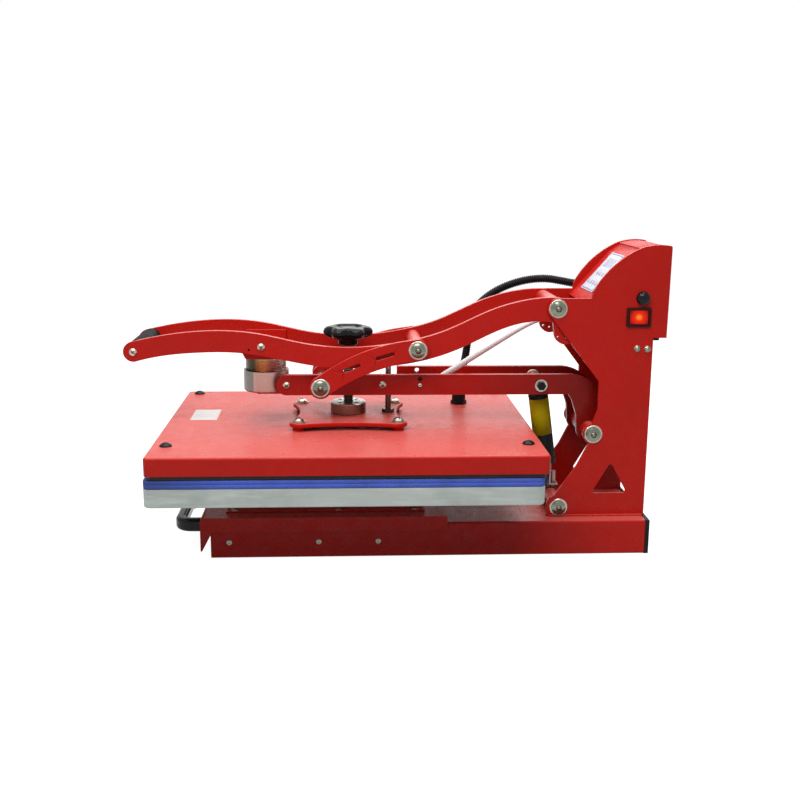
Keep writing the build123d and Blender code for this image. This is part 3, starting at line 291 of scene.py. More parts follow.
def stepped_bolts(name, seat, rim, crown, hole):
    """A pivot bolt's flange, then its crown, by the distance from the centre plane."""
    s = Shader(name, rim, 0.2, Metallic=1.0)
    s.tint(s.ramp(s.noise(60, 4), 0.45, 0.7), [v * 0.8 for v in rim], 0.5)
    s.tint(s.ramp(s.across(), seat + 0.0014, seat + 0.0017), crown)
    s.tint(s.ramp(s.noise(140, 3), 0.5, 0.7), hole, 0.35)
    s.rough(s.noise(240, 3), 0.14, 0.3)
    return s.bump(s.noise(500, 3), 0.00005).material


hub_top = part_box("screw_hub")[1][2]
hub_steel = two_tone("turned hub", (128, 88, 76), (214, 212, 208), hub_top - 0.0012)
# Painted shade: below the top face and within 21.5 mm of the axis, in the slots, the steel is
# painted near black.
hub_steel.tint(hub_steel.both(
    hub_steel.ramp(hub_steel.axis("Z"), hub_top - 0.00003, hub_top - 0.00008),
    hub_steel.ramp(hub_steel.near((0, 0, 0), level=True), 0.0225, 0.0215),
), (26, 22, 21))
rod_steel = two_tone("guide rod", (84, 66, 57), (206, 206, 206), 0.215, 0.2)
gloss = plastic("gloss black", (17, 17, 18), 0.09, worn=(34, 34, 36))
gloss.bsdf.inputs["IOR"].default_value = 1.25
gloss_black = gloss.material
matt_black = plastic("matt black", (24, 24, 25), 0.5, grain=1400, depth=0.00006).material
rubber = plastic("black rubber", (22, 22, 23), 0.42, grain=500, depth=0.00005).material
conduit_black = plastic("conduit black", (22, 22, 24), 0.24, grain=1800, depth=0.00004).material
board = Shader("glass fibre board", (206, 200, 180), 0.9)
board.tint(board.ramp(board.noise(120, 4), 0.45, 0.7), (176, 166, 140), 0.6)
board.bump(board.noise(900, 4), 0.0003)
potting = Shader("coil potting", (96, 48, 26), 0.35)
potting.tint(potting.ramp(potting.noise(60, 3), 0.45, 0.7), (58, 26, 14), 0.6)
potting.bump(potting.wave(90, "Z"), 0.0001)
case = plastic("controller case", (58, 58, 60), 0.55).material
film = Shader("keypad film", (182, 186, 198), 0.4)
film.tint(film.ramp(film.noise(14, 3), 0.42, 0.7), (192, 195, 206), 0.6)
film.rough(film.noise(200, 2), 0.24, 0.36).bump(film.noise(1600, 1), 0.00002)

lamp = Shader("lit rocker", (70, 8, 5), 0.3, IOR=1.15, Emission_Strength=1.0)
lamp.tint(lamp.ramp(lamp.noise(160, 2), 0.4, 0.7), (52, 6, 4), 0.5)
lamp.bump(lamp.noise(900, 1), 0.00003)
# A second chain of tints, for the light of a bulb behind the rocker's face
lens, BULB = lamp.base, (0.387, -0.068, 0.325)
lamp.base, lamp.colour = None, linear(226, 38, 14)
lamp.tint(lamp.ramp(lamp.near(BULB), 0.0055, 0.001), (255, 160, 52))
lamp.tint(lamp.ramp(lamp.near(BULB), 0.007, 0.0135), (96, 8, 6), 0.9)
lamp.join(lamp.base, lamp.bsdf.inputs["Emission Color"])
lamp.join(lens, lamp.bsdf.inputs["Base Color"])
bezel = plastic("bezel black", (46, 12, 11), 0.45, worn=(70, 18, 14))
grip_black = plastic("grip black", (20, 18, 19), 0.62, grain=300, depth=0.00008)
grip_black.bsdf.inputs["IOR"].default_value = 1.16

LOOKS = {
    "red_paint": red, "platen_aluminium": platen.material, "heat_plate": coated.material,
    "blue_silicone": sponge.material, "zinc_steel": zinc, "dark_steel": dark,
    "bronzed_steel": bronzed.material, "chrome_rod": chrome, "black_gloss": gloss_black,
    "black_matt": matt_black, "black_rubber": rubber, "lit_red": lamp.material,
    "panel_film": film.material, "insulation": board.material,
    "copper_coil": potting.material, "controller_case": case, "white_sleeve": board.material,
}
for entry in frame["record"]["subparts"]:
    mesh = nodes[entry["node"]].data
    mesh.materials.clear()
    mesh.materials.append(LOOKS[entry["material_slot"]])
column_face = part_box("column_plate_far")[1][1]
arm_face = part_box("arm_far")[1][1]
link_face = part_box("links")[1][1]
RIM, CROWN, HOLE = (206, 200, 188), (116, 118, 106), (84, 86, 76)
strut_bolt = Shader("strut bolt", (190, 184, 174), 0.24, Metallic=1.0)
strut_bolt.tint(strut_bolt.ramp(strut_bolt.noise(60, 3), 0.45, 0.7), (150, 144, 134), 0.5)
strut_step = strut_bolt.ramp(strut_bolt.across(), arm_face + 0.0015, arm_face + 0.0018)
strut_bolt.tint(strut_step, (30, 28, 28))
strut_bolt.rough(strut_bolt.noise(240, 3), 0.2, 0.4).bump(strut_bolt.noise(500, 3), 0.00005)
for name, look in (
    ("magnet_cup", cup.material), ("front_grip", grip_black.material),
    ("screw_hub", hub_steel.material),
    ("probe_bracket", metal("probe bracket", (128, 104, 100), 0.4, stain=(84, 70, 66)).material),
    ("switch_bezels", bezel.material), ("control_hood", hood_paint.material),
    ("arm_near", arm_shaded_paint.material), ("arm_far", arm_shaded_paint.material),
    ("guide_rod", rod_steel.material), ("gas_rod", dark), ("strut_pin", strut_bolt.material),
    ("frame_bolts", stepped_bolts("frame bolts", column_face, RIM, CROWN, HOLE)),
    ("link_pin", stepped_bolts("link pin", link_face + 0.0003, RIM, CROWN, HOLE)),
    ("link_bolts", stepped_bolts("link bolts", link_face, RIM, CROWN, HOLE)),
):
    nodes[name].data.materials[0] = look


# Edges: the listed CAD nodes' sharp edges are broken, as on folded and cast parts

EDGE = {
    "upper_cover": 0.9, "lower_platen": 1.2, "column_plate_near": 0.7, "column_plate_far": 0.7,
    "arm_near": 0.8, "arm_far": 0.8, "handle_plate_near": 0.8, "handle_plate_far": 0.8,
    "links": 0.7, "spider_plate": 0.7, "base_tube_near": 0.3, "base_tube_far": 0.3,
    "control_hood": 0.5, "magnet_block": 0.7, "arm_blocks": 0.7, "tube_end_caps": 0.9,
    "drawer_tray": 0.4, "platen_risers": 0.4, "switch_bezels": 0.5, "switch_rocker": 0.6,
    "magnet_bracket": 0.5, "controller": 0.8, "column_back": 0.4, "heat_platen": 0.4,
    "magnet_keeper": 0.4, "handle_tubes": 0.4, "gas_rod": 0.3, "gas_cylinder": 0.3,
}


def soften(obj, width):
    """Joins the split corners and rounds the edges by width millimetres."""
    weld = obj.modifiers.new("weld", "WELD")
    weld.merge_threshold = 0.00001
    bevel = obj.modifiers.new("edges", "BEVEL")
    bevel.width = width * MM
    bevel.segments = 2
    bevel.limit_method = "ANGLE"
    bevel.angle_limit = math.radians(35)
    bevel.harden_normals = True


for name, width in EDGE.items():
    soften(nodes[name], width)


# Meshes made from rings, outlines and repeats


def add(name, verts, faces, material, smooth=True):
    """A new piece from plain vertex and face lists."""
    mesh = bpy.data.meshes.new(name)
    mesh.from_pydata([tuple(v) for v in verts], [], faces)
    mesh.validate()
    mesh.polygons.foreach_set("use_smooth", [smooth] * len(mesh.polygons))
    mesh.materials.append(material)
    obj = bpy.data.objects.new(name, mesh)
    scene.collection.objects.link(obj)
    return obj


def ring_faces(rings, around):
    """The skin between rings of points in order, and a flat cap at each end."""
    faces = []
    for i in range(rings - 1):
        for k in range(around):
            a, b = i * around + k, i * around + (k + 1) % around
            faces.append((a, b, b + around, a + around))
    faces.append(tuple(reversed(range(around))))
    last = (rings - 1) * around
    faces.append(tuple(last + k for k in range(around)))
    return faces


def centre_line(route, steps=12):
    """The points of the smooth line whose control points are the route's, in metres."""
    curve = bpy.data.curves.new("line", "CURVE")
    curve.dimensions = "3D"
    spline = curve.splines.new("NURBS")
    spline.points.add(len(route) - 1)
    for point, place in zip(spline.points, route):
        point.co = (*place, 1)
    spline.order_u = 3
    spline.use_endpoint_u = True
    spline.resolution_u = steps
    obj = bpy.data.objects.new("line", curve)
    scene.collection.objects.link(obj)
    bpy.context.view_layer.update()
    mesh = bpy.data.meshes.new_from_object(obj)
    points = [v.co.copy() for v in mesh.vertices]
    bpy.data.objects.remove(obj)
    bpy.data.meshes.remove(mesh)
    return points


def spaced(points, step):
    """Evenly spaced points and directions along a line."""
    lengths = [0.0]
    for a, b in zip(points, points[1:]):
        lengths.append(lengths[-1] + (b - a).length)
    count = max(2, round(lengths[-1] / step) + 1)
    out, index = [], 0
    for i in range(count):
        want = lengths[-1] * i / (count - 1)
        while index < len(points) - 2 and lengths[index + 1] < want:
            index += 1
        run = lengths[index + 1] - lengths[index]
        t = (want - lengths[index]) / run if run else 0
        out.append(points[index].lerp(points[index + 1], t))
    ways = []
    for i in range(count):
        ways.append((out[min(i + 1, count - 1)] - out[max(i - 1, 0)]).normalized())
    return out, ways, lengths[-1]


def frames_along(ways):
    """A side direction at each point, carried along without twisting."""
    start = Vector((0, 0, 1)) if abs(ways[0].z) < 0.9 else Vector((1, 0, 0))
    side = (start - ways[0] * start.dot(ways[0])).normalized()
    sides = [side]
    for before, here in zip(ways, ways[1:]):
        turn = before.rotation_difference(here)
        side = turn @ side
        side = (side - here * side.dot(here)).normalized()
        sides.append(side)
    return sides


def tube(name, points, radius_at, material, step, around=20, dent=None):
    """A round skin along a line; radius_at gives its radius at a distance along it."""
    places, ways, length = spaced(points, step)
    sides = frames_along(ways)
    verts = []
    for i, (place, way, side) in enumerate(zip(places, ways, sides)):
        up = way.cross(side)
        along = length * i / (len(places) - 1)
        for k in range(around):
            angle = 2 * math.pi * k / around
            radius = radius_at(along)
            if dent:
                radius += dent(along, angle)
            verts.append(place + (side * math.cos(angle) + up * math.sin(angle)) * radius)
    return add(name, verts, ring_faces(len(places), around), material), length


def lathe(name, centre, axis, profile, material, around=40):
    """A turned piece: profile is (distance along the axis, radius) pairs in millimetres."""
    axis = Vector(axis).normalized()
    turn = Vector((0, 0, 1)).rotation_difference(axis)
    centre = Vector(centre) * MM
    verts = []
    for along, radius in profile:
        for k in range(around):
            angle = 2 * math.pi * k / around
            local = Vector((radius * math.cos(angle), radius * math.sin(angle), along)) * MM
            verts.append(centre + turn @ local)
    return add(name, verts, ring_faces(len(profile), around), material)


def repeat(name, shape, places, material, body, turns=None):
    """Puts one shape at many places with Geometry Nodes and keeps the result as a mesh."""
    cloud = bpy.data.meshes.new(name + "_places")
    cloud.from_pydata([tuple(p) for p in places], [], [])
    turn = cloud.attributes.new("turn", "FLOAT_VECTOR", "POINT")
    for i in range(len(places)):
        turn.data[i].vector = turns[i] if turns else (0, 0, 0)
    holder = bpy.data.objects.new(name + "_holder", cloud)
    scene.collection.objects.link(holder)
    group = bpy.data.node_groups.new(name + "_repeat", "GeometryNodeTree")
    group.interface.new_socket("Geometry", in_out="INPUT", socket_type="NodeSocketGeometry")
    group.interface.new_socket("Geometry", in_out="OUTPUT", socket_type="NodeSocketGeometry")
    add_node, link = group.nodes.new, group.links.new
    start, end = add_node("NodeGroupInput"), add_node("NodeGroupOutput")
    info = add_node("GeometryNodeObjectInfo")
    info.inputs["Object"].default_value = shape
    named = add_node("GeometryNodeInputNamedAttribute")
    named.data_type = "FLOAT_VECTOR"
    named.inputs["Name"].default_value = "turn"
    euler = add_node("FunctionNodeEulerToRotation")
    link(named.outputs["Attribute"], euler.inputs["Euler"])
    on_points = add_node("GeometryNodeInstanceOnPoints")
    link(start.outputs[0], on_points.inputs["Points"])
    link(info.outputs["Geometry"], on_points.inputs["Instance"])
    link(euler.outputs["Rotation"], on_points.inputs["Rotation"])
    realize = add_node("GeometryNodeRealizeInstances")
    link(on_points.outputs["Instances"], realize.inputs["Geometry"])
    paint = add_node("GeometryNodeSetMaterial")
    paint.inputs["Material"].default_value = material
    link(realize.outputs["Geometry"], paint.inputs["Geometry"])
    link(paint.outputs["Geometry"], end.inputs[0])
    holder.modifiers.new("repeat", "NODES").node_group = group
    bpy.context.view_layer.update()
    mesh = bpy.data.meshes.new_from_object(
        holder.evaluated_get(bpy.context.evaluated_depsgraph_get())
    )
    bpy.data.objects.remove(holder)
    bpy.data.objects.remove(shape)
    mesh.materials.clear()
    mesh.materials.append(material)
    obj = bpy.data.objects.new(name, mesh)
    scene.collection.objects.link(obj)
    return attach(obj, body)


def on_body(obj, body):
    """Hangs a piece on a body."""
    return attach(obj, body)


# The ribbed conduit and the white sleeve. The blends run in directions that spread the bend along
# the leads and keep them clear of the handle.

CONDUIT_ROUTE = [
    (0.1660, 0.1020, 0.1915), (0.1660, 0.1020, 0.2090), (0.1730, 0.1010, 0.2320),
    (0.1775, 0.0995, 0.2620), (0.1780, 0.0970, 0.2920), (0.1870, 0.0945, 0.3180),
    (0.2080, 0.0925, 0.3380), (0.2340, 0.0915, 0.3515), (0.2620, 0.0910, 0.3595),
    (0.2900, 0.0912, 0.3615), (0.3140, 0.0910, 0.3575), (0.3340, 0.0910, 0.3535),
    (0.3520, 0.0910, 0.3535),
]
SLEEVE_ROUTE = [
    (0.1040, -0.0190, 0.2255), (0.1120, -0.0190, 0.2255), (0.1310, -0.0180, 0.2380),
    (0.1700, -0.0140, 0.2615), (0.2100, -0.0095, 0.2860), (0.2460, -0.0050, 0.3075),
    (0.2720, -0.0020, 0.3172), (0.3000, 0.0000, 0.3235), (0.3253, 0.0000, 0.3296),
]
RIB, RIB_DEPTH = 0.0027, 0.0005
CONDUIT_RADIUS, SLEEVE_RADIUS = 0.0057, 0.0042
BRAID, BRAID_DEPTH = 2600, 0.0001  # crossings a metre, times two pi
conduit_points = centre_line(CONDUIT_ROUTE)
conduit, _ = tube(
    "ribbed_conduit", conduit_points,
    lambda s: CONDUIT_RADIUS + RIB_DEPTH * math.cos(2 * math.pi * s / RIB),
    conduit_black, RIB / 6, around=22,
)
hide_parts("head_conduit")
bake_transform(conduit)

braid = Shader("glass sleeve", (240, 238, 238), 0.7)
braid.tint(braid.ramp(braid.noise(130, 3), 0.45, 0.7), (226, 224, 226), 0.5)
braid.bump(braid.noise(1300, 2), 0.0002)
sleeve_points = centre_line(SLEEVE_ROUTE)
sleeve, _ = tube(
    "woven_sleeve", sleeve_points, lambda s: SLEEVE_RADIUS, braid.material, 0.0012, around=24,
    dent=lambda s, a: (
        BRAID_DEPTH * math.cos(BRAID * s + 12 * a) * math.cos(BRAID * s - 12 * a)
    ),
)
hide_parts("head_sleeve")
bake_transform(sleeve)


# The silicone pad: a moulded sheet with soft edges and a bright seam line round it


def rounded_loop(x, y, radius, per_corner=8):
    """The corners of a rounded rectangle between two x and two y, in order."""
    loop = []
    for cx, cy, start in (
        (x[1] - radius, y[1] - radius, 0), (x[0] + radius, y[1] - radius, 90),
        (x[0] + radius, y[0] + radius, 180), (x[1] - radius, y[0] + radius, 270),
    ):
        for i in range(per_corner + 1):
            angle = math.radians(start + 90 * i / per_corner)
            loop.append((cx + radius * math.cos(angle), cy + radius * math.sin(angle)))
    return loop


def slab(name, x, y, radius, section, material):
    """A closed sheet: section is (inset, z) pairs up its edge, in millimetres."""
    verts = []
    for inset, z in section:
        loop = rounded_loop((x[0] + inset, x[1] - inset), (y[0] + inset, y[1] - inset),
                            max(radius - inset, 0.5))
        verts += [(px * MM, py * MM, z * MM) for px, py in loop]
    count = len(verts) // len(section)
    return add(name, verts, ring_faces(len(section), count), material)


def in_mm(node):
    """A node's box as three (low, high) pairs in millimetres."""
    low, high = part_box(node)
    return [(a * 1000, b * 1000) for a, b in zip(low, high)]


pad_x, pad_y, pad_z = in_mm("silicone_pad")
pad = slab("pad_sheet", pad_x, pad_y, 10, [
    (1.2, pad_z[0] + 0.02), (0.5, pad_z[0] + 0.3), (0.25, pad_z[0] + 1.2), (0.05, pad_z[0] + 3),
    (0.0, pad_z[0] + 5.4), (0.35, pad_z[0] + 5.7), (0.35, pad_z[0] + 6.0), (0.0, pad_z[0] + 6.3),
    (0.05, pad_z[1] - 2.2), (0.35, pad_z[1] - 0.9), (1.0, pad_z[1] - 0.25), (2.0, pad_z[1] - 0.02),
], sponge.material)
for polygon in pad.data.polygons:
    if len(polygon.vertices) > 4:
        polygon.use_smooth = False
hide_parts("silicone_pad")
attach(pad, "drawer")


# The knob: rounded lobes about a dished top


def lobed_knob():
    """Rings whose radius swells at each lobe, most at mid height."""
    neck, base, top, lobes, around = 279.5, 288.5, 304.5, 6, 144
    middle, half = (base + top) / 2, (top - base) / 2
    rings = []
    for i in range(15):
        angle = math.radians(-90 + 180 * i / 14)
        lift = half * math.sin(angle) * (0.86 + 0.14 * abs(math.sin(angle)))
        rings.append((math.cos(angle) ** 0.62 if i not in (0, 14) else 0.0, middle + lift))
    verts = []

    def ring(radius_of, z):
        for k in range(around):
            turn = 2 * math.pi * k / around
            radius = radius_of(turn)
            verts.append((radius * math.cos(turn) * MM, radius * math.sin(turn) * MM, z * MM))

    def edge(swell):
        def radius(turn):
            lobe = 0.5 + 0.5 * math.cos(lobes * turn)
            return 20.5 + (6.4 + 7.4 * lobe ** 0.72) * swell
        return radius

    # The boss below the lobes, the lobes, then the dished top, as (radius, depth below top)
    for radius, z in ((0.2, neck), (13.6, neck), (14.5, 280.4), (14.8, 287.2), (16.4, base)):
        ring(lambda turn: radius, z)
    for swell, z in rings:
        ring(edge(swell), z)
    for radius, depth in (
        (19.4, 0.5), (18.4, 2.2), (16.0, 3.6), (12.4, 3.9), (11.6, 1.8), (10.4, 1.3), (0.2, 1.2),
    ):
        ring(lambda turn: radius, top - depth)
    faces = ring_faces(len(verts) // around, around)
    return add("lobed_knob", verts, faces, gloss_black)


knob = lobed_knob()
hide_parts("hand_wheel")
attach(knob, "knob")


# The pressure screw with its thread


def threaded_rod(name, low, high, root, crest, pitch, material, around=28):
    """A screw whose thread winds up it; the rings are fine enough to hold its flanks."""
    steps = round((high - low) / pitch * 8)
    verts = []
    for i in range(steps + 1):
        z = low + (high - low) * i / steps
        for k in range(around):
            phase = (z / pitch - k / around) % 1
            tooth = 1 - abs(2 * phase - 1)
            radius = root + (crest - root) * min(1, max(0, 1.5 * tooth - 0.25))
            turn = 2 * math.pi * k / around
            verts.append((radius * math.cos(turn) * MM, radius * math.sin(turn) * MM, z * MM))
    return add(name, verts, ring_faces(steps + 1, around), material)


screw_foot, screw_top = in_mm("pressure_screw")[2]
COLLAR = 4.5
screw = threaded_rod("screw_thread", screw_foot, screw_top - COLLAR, 6.0, 7.0, 3.0, dark)
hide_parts("pressure_screw")
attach(screw, "knob")
collar = lathe("screw_collar", (0, 0, screw_top - COLLAR), (0, 0, 1), [
    (0, 6.9), (0, 10.4), (0.6, 11.0), (COLLAR - 0.6, 11.0), (COLLAR, 10.5), (COLLAR, 6.9),
], dark, around=48)
on_body(collar, "knob")


# The gas spring's plain yellow film and its two bands


def strut_point(along):
    """A point on the gas spring's axis, this far below its upper eye, in millimetres."""
    head, foot = (Vector((x, 0, z)) for x, z in (STRUT_HEAD, STRUT_FOOT))
    return head + (foot - head).normalized() * along


yellow = Shader("yellow film", (168, 146, 6), 0.5, IOR=1.15)
yellow.tint(yellow.ramp(yellow.noise(30, 4), 0.45, 0.7), (146, 126, 4), 0.5)
yellow.rough(yellow.noise(120, 3), 0.28, 0.5).bump(yellow.noise(500, 2), 0.00005)
lean = (strut_point(1) - strut_point(0)).normalized()
CYLINDER_SKIN = 13.6  # just inside the cylinder's wall
wrap = lathe("cylinder_film", strut_point(25), lean, [
    (0, CYLINDER_SKIN), (0.1, 13.95), (52, 13.95), (52.1, CYLINDER_SKIN),
], yellow.material, around=64)
on_body(wrap, "strut_cylinder")
for polygon in wrap.data.polygons:
    polygon.use_smooth = len(polygon.vertices) == 4
for along in (112, 20.5):
    band = lathe("cylinder_band_%d" % along, strut_point(along), lean, [
        (0, CYLINDER_SKIN), (0.3, 14.2), (1.6, 14.2), (1.9, CYLINDER_SKIN),
    ], matt_black, around=48)
    on_body(band, "strut_cylinder")


# The blank label on the cover, and the film's border, window and keys on the control box

paper = Shader("blank label", (196, 190, 188), 0.5)
paper.tint(paper.ramp(paper.noise(90, 3), 0.4, 0.7), (180, 174, 172), 0.6)
paper.bump(paper.noise(300, 2), 0.0001)


def plate_on_top(name, x, y, z, thick, radius, material, body):
    """A thin rounded sheet lying flat at height z."""
    sheet = slab(name, x, y, radius, [
        (0.15, z), (0, z + thick * 0.4), (0, z + thick * 0.7), (0.12, z + thick),
    ], material)
    return on_body(sheet, body)


COVER_TOP = in_mm("upper_cover")[2][1]
plate_on_top("blank_label", (-221, -184), (1, 66), COVER_TOP + 0.01, 0.12, 1.5,
             paper.material, "head")

FILM_LOW, FILM_HIGH = Vector((329.0, 0, 354.9)), Vector((372.0, 0, 403.8))
FILM_UP = (FILM_HIGH - FILM_LOW).normalized()
FILM_OUT = Vector((0, -1, 0)).cross(FILM_UP).normalized()


def on_film(up, y, lift):
    """A point on the keypad film: millimetres up the slope, across it, and above it."""
    return (FILM_LOW + FILM_UP * up + FILM_OUT * lift + Vector((0, y, 0))) * MM


def film_patch(name, up, y, lift, radius, material, thick=0.08):
    """A thin printed area with rounded corners that lies on the film."""
    verts = []
    loop = rounded_loop(up, y, radius, 5)
    for height in (lift - thick, lift):
        verts += [on_film(u, v, height) for u, v in loop]
    return on_body(add(name, verts, ring_faces(2, len(loop)), material, smooth=False), "base")


window = Shader("display window", (154, 161, 178), 0.2)
window.tint(window.ramp(window.noise(40, 3), 0.45, 0.7), (142, 149, 167), 0.5)
window.rough(window.noise(90, 2), 0.14, 0.28)
border = Shader("film border", (104, 116, 150), 0.4)
border.tint(border.ramp(border.noise(50, 3), 0.4, 0.7), (92, 104, 140), 0.5)
border.bump(border.noise(900, 1), 0.00003)

film_patch("film_border", (1.2, 63.9), (-31.8, 31.8), 0.1, 3, border.material)
film_patch("film_face", (3.2, 61.9), (-29.8, 29.8), 0.18, 2.2, film.material)
film_patch("display_window", (41, 56), (-22, 22), 0.26, 1.5, window.material)


def key_cap():
    """A low round membrane key, lying flat at the origin."""
    profile = [(0, 4.4), (0.35, 4.2), (0.6, 3.4), (0.72, 1.6), (0.75, 0.2)]
    return lathe("key", (0, 0, 0), (0, 0, 1), profile, window.material, around=28)


KEYS = [(14, y) for y in (-21, -7, 7, 21)] + [(30, y) for y in (-14, 0, 14)]
FILM_LEAN = -math.atan2(-FILM_OUT.x, FILM_OUT.z)
repeat("membrane_keys", key_cap(), [on_film(u, y, 0.15) for u, y in KEYS], window.material,
       "base", turns=[(0, FILM_LEAN, 0) for _ in KEYS])


# Small fasteners: dark discs of painted shade in the bolts' sockets, the gas spring's washers, the
# clamp's screw


def screw_head(radius, height):
    """A small domed head on z = 0 with a cross-slot ring."""
    profile = [(0, radius), (height * 0.4, radius), (height * 0.75, radius * 0.82),
               (height, radius * 0.5), (height, radius * 0.34), (height * 0.6, radius * 0.3)]
    return lathe("head", (0, 0, 0), (0, 0, 1), profile, zinc, around=26)


TO_NEAR, TO_FAR = (math.pi / 2, 0, 0), (-math.pi / 2, 0, 0)
# Painted shade: dark steel discs sit in the bolts' sockets, where the hollow would be in shade.
socket_shade = metal("socket shade", (112, 110, 98), 0.34, stain=(74, 72, 62)).material


def socket_shade_disc(radius):
    """A dark disc in a hexagon socket, painted shade."""
    return lathe("floor", (0, 0, 0), (0, 0, 1), [(-1, radius), (0.2, radius)], zinc, around=6)


def socket_shade_discs(name, places, seat, height, body, radius):
    """Dark discs of painted shade in the sockets of some screws' heads on both side faces."""
    spots = [(x * MM, side * (seat + height * MM), z * MM) for x, z in places for side in (-1, 1)]
    repeat(name, socket_shade_disc(radius), spots, socket_shade, body,
           turns=[TO_NEAR if y < 0 else TO_FAR for x, y, z in spots])


HANDLE_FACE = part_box("handle_plate_far")[1][1]
SOCKET_SHADES = (
    ("frame_sockets", [HANDLE_PIVOT, ARM_PIVOT, STRUT_FOOT], column_face, 5.0, "base", 4.2),
    ("link_pin_sockets", [LINK_FOOT], link_face + 0.0003, 5.0, "head", 4.2),
    ("link_bolt_sockets", [LINK_TOP], link_face, 5.0, "link", 4.2),
    ("handle_sockets", [(-282.7, 278.3), (-115, 284.4)], HANDLE_FACE, 2.3, "handle", 2.1),
    ("arm_sockets", [(-83.5, 228.2), (46.6, 228.2)], arm_face, 2.4, "head", 2.1),
)
for name, places, seat, height, body, radius in SOCKET_SHADES:
    socket_shade_discs(name, places, seat, height, body, radius)


def pin_washer():
    """A thick washer for the gas spring's pin, on z = 0."""
    profile = [(0, 8.1), (0, 10.6), (0.4, 11), (1.6, 11), (2, 10.6), (2, 8.1)]
    return lathe("washer", (0, 0, 0), (0, 0, 1), profile, zinc, around=40)


ARM_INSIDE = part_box("arm_far")[0][1]
STRUT_X, STRUT_Z = STRUT_HEAD
washer_places = [(STRUT_X * MM, side * ARM_INSIDE, STRUT_Z * MM) for side in (-1, 1)]
repeat("pin_washers", pin_washer(), washer_places, zinc, "head", turns=[TO_FAR, TO_NEAR])
CLAMP_SCREW = (0.0977, -0.036, 0.2275)
repeat("clamp_screw", screw_head(3.3, 2.3), [CLAMP_SCREW], zinc, "head", turns=[TO_NEAR])


# The weld beads, as overlapping ripples along a line


WELD_RIPPLE = 2600  # ripples a metre, times two pi


def weld(name, route, body, radius=2.4):
    """A welded bead laid along a line of points in millimetres."""
    points = [Vector(p) * MM for p in route]
    bead, _ = tube(
        name, points, lambda s: radius * MM * (0.86 + 0.14 * math.cos(s * WELD_RIPPLE)),
        red, 0.0006, around=14,
    )
    return on_body(bead, body)


Y_OUT = in_mm("column_plate_near")[1][0]
for side, label in ((-1, "near"), (1, "far")):
    y = -Y_OUT * side
    weld("foot_weld_" + label, [(276, y, 48.4), (406, y, 48.4)], "base")
weld("rear_weld", [(408.6, -52, 49.0), (408.6, 52, 49.0)], "base", 2.0)


# Camera, where the photograph was taken from

PITCH, YAW, ROLL = math.radians(12.25), math.radians(2.98), math.radians(0.4)
EYE, LENS = (-0.0027, -1.4439, 0.5133), 47.45
forward = Vector((
    math.sin(YAW) * math.cos(PITCH), math.cos(YAW) * math.cos(PITCH), -math.sin(PITCH),
))
right = Vector((math.cos(YAW), -math.sin(YAW), 0))
upward = right.cross(forward)
level = right * math.cos(ROLL) + upward * math.sin(ROLL)
lifted = upward * math.cos(ROLL) - right * math.sin(ROLL)
camera = bpy.data.objects.new("camera", bpy.data.cameras.new("camera"))
camera.data.sensor_width = 36
camera.data.lens = LENS
camera.data.clip_end = 50
camera.matrix_world = Matrix((
    (level.x, lifted.x, -forward.x, EYE[0]),
    (level.y, lifted.y, -forward.y, EYE[1]),
    (level.z, lifted.z, -forward.z, EYE[2]),
    (0, 0, 0, 1),
))
scene.collection.objects.link(camera)
scene.camera = camera


# Floor, world and lamps


def seen_directly(tree):
    """1 for rays from the camera, and for those that gloss or glass sends on."""
    path = tree.nodes.new("ShaderNodeLightPath")
    total = path.outputs["Is Camera Ray"]
    for name in ("Is Glossy Ray", "Is Transmission Ray"):
        largest = tree.nodes.new("ShaderNodeMath")
        largest.operation = "MAXIMUM"
        tree.links.new(total, largest.inputs[0])
        tree.links.new(path.outputs[name], largest.inputs[1])
        total = largest.outputs[0]
    return total


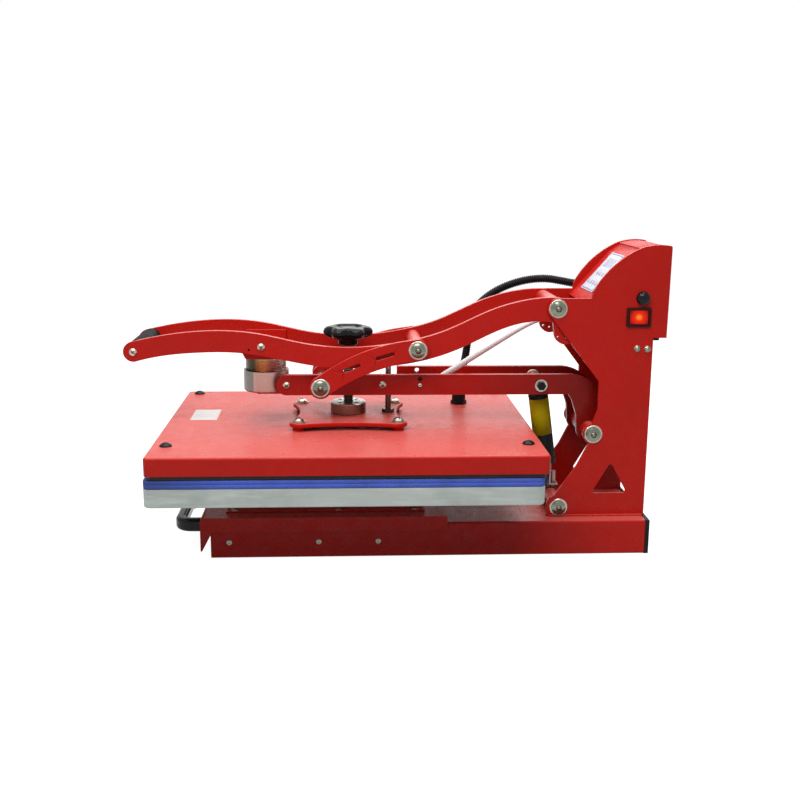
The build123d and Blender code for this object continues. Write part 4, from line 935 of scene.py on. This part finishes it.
def pale_world(strength):
    """A pale world that looks white wherever it is seen."""
    world = bpy.data.worlds.new("studio")
    world.use_nodes = True
    tree = world.node_tree
    plain = tree.nodes["Background"]
    plain.inputs["Color"].default_value = (1, 1, 1, 1)
    plain.inputs["Strength"].default_value = strength
    white = tree.nodes.new("ShaderNodeBackground")
    white.inputs["Strength"].default_value = 1.0
    white.inputs["Color"].default_value = (1, 1, 1, 1)
    mix = tree.nodes.new("ShaderNodeMixShader")
    tree.links.new(seen_directly(tree), mix.inputs[0])
    tree.links.new(plain.outputs[0], mix.inputs[1])
    tree.links.new(white.outputs[0], mix.inputs[2])
    tree.links.new(mix.outputs[0], tree.nodes["World Output"].inputs["Surface"])
    scene.world = world


def lay_floor(reach=6, z=-0.0005):
    """The stage's matt floor, which glows white to the camera."""
    floor = add(
        "floor", [(-reach, -reach, z), (reach, -reach, z), (reach, reach, z), (-reach, reach, z)],
        [(0, 1, 2, 3)], bpy.data.materials.new("floor"), smooth=False,
    )
    material = floor.data.materials[0]
    material.use_nodes = True
    tree = material.node_tree
    tree.nodes.remove(tree.nodes["Principled BSDF"])
    matt = tree.nodes.new("ShaderNodeBsdfDiffuse")
    matt.inputs["Color"].default_value = (0.3, 0.3, 0.3, 1)
    glow = tree.nodes.new("ShaderNodeEmission")
    glow.inputs["Color"].default_value = (1, 1, 1, 1)
    total = tree.nodes.new("ShaderNodeMath")
    total.operation = "MULTIPLY"
    total.inputs[1].default_value = 0.95
    tree.links.new(seen_directly(tree), total.inputs[0])
    tree.links.new(total.outputs[0], glow.inputs["Strength"])
    both = tree.nodes.new("ShaderNodeAddShader")
    tree.links.new(matt.outputs[0], both.inputs[0])
    tree.links.new(glow.outputs[0], both.inputs[1])
    tree.links.new(both.outputs[0], tree.nodes["Material Output"].inputs["Surface"])


def softbox(name, place, target, size, power):
    """A rectangular lamp at place, turned to target."""
    data = bpy.data.lights.new(name, "AREA")
    data.shape = "RECTANGLE"
    data.size, data.size_y = size
    data.energy = power
    obj = bpy.data.objects.new(name, data)
    obj.location = place
    way = Vector(target) - Vector(place)
    obj.rotation_euler = way.to_track_quat("-Z", "Y").to_euler()
    scene.collection.objects.link(obj)


pale_world(0.24)
lay_floor()
softbox("overhead", (0.1, 0.1, 2.2), (0.05, 0, 0.15), (2.2, 1.8), 47)
softbox("front", (-0.3, -1.6, 2.0), (0.05, 0, 0.15), (1.6, 1.0), 39)
softbox("strip", (-0.9, -0.7, 1.7), (0.0, 0, 0.25), (1.4, 0.05), 6)
softbox("rear", (0.5, 1.6, 1.4), (0.05, 0, 0.2), (1.6, 1.0), 14)

scene.view_settings.view_transform = "Standard"
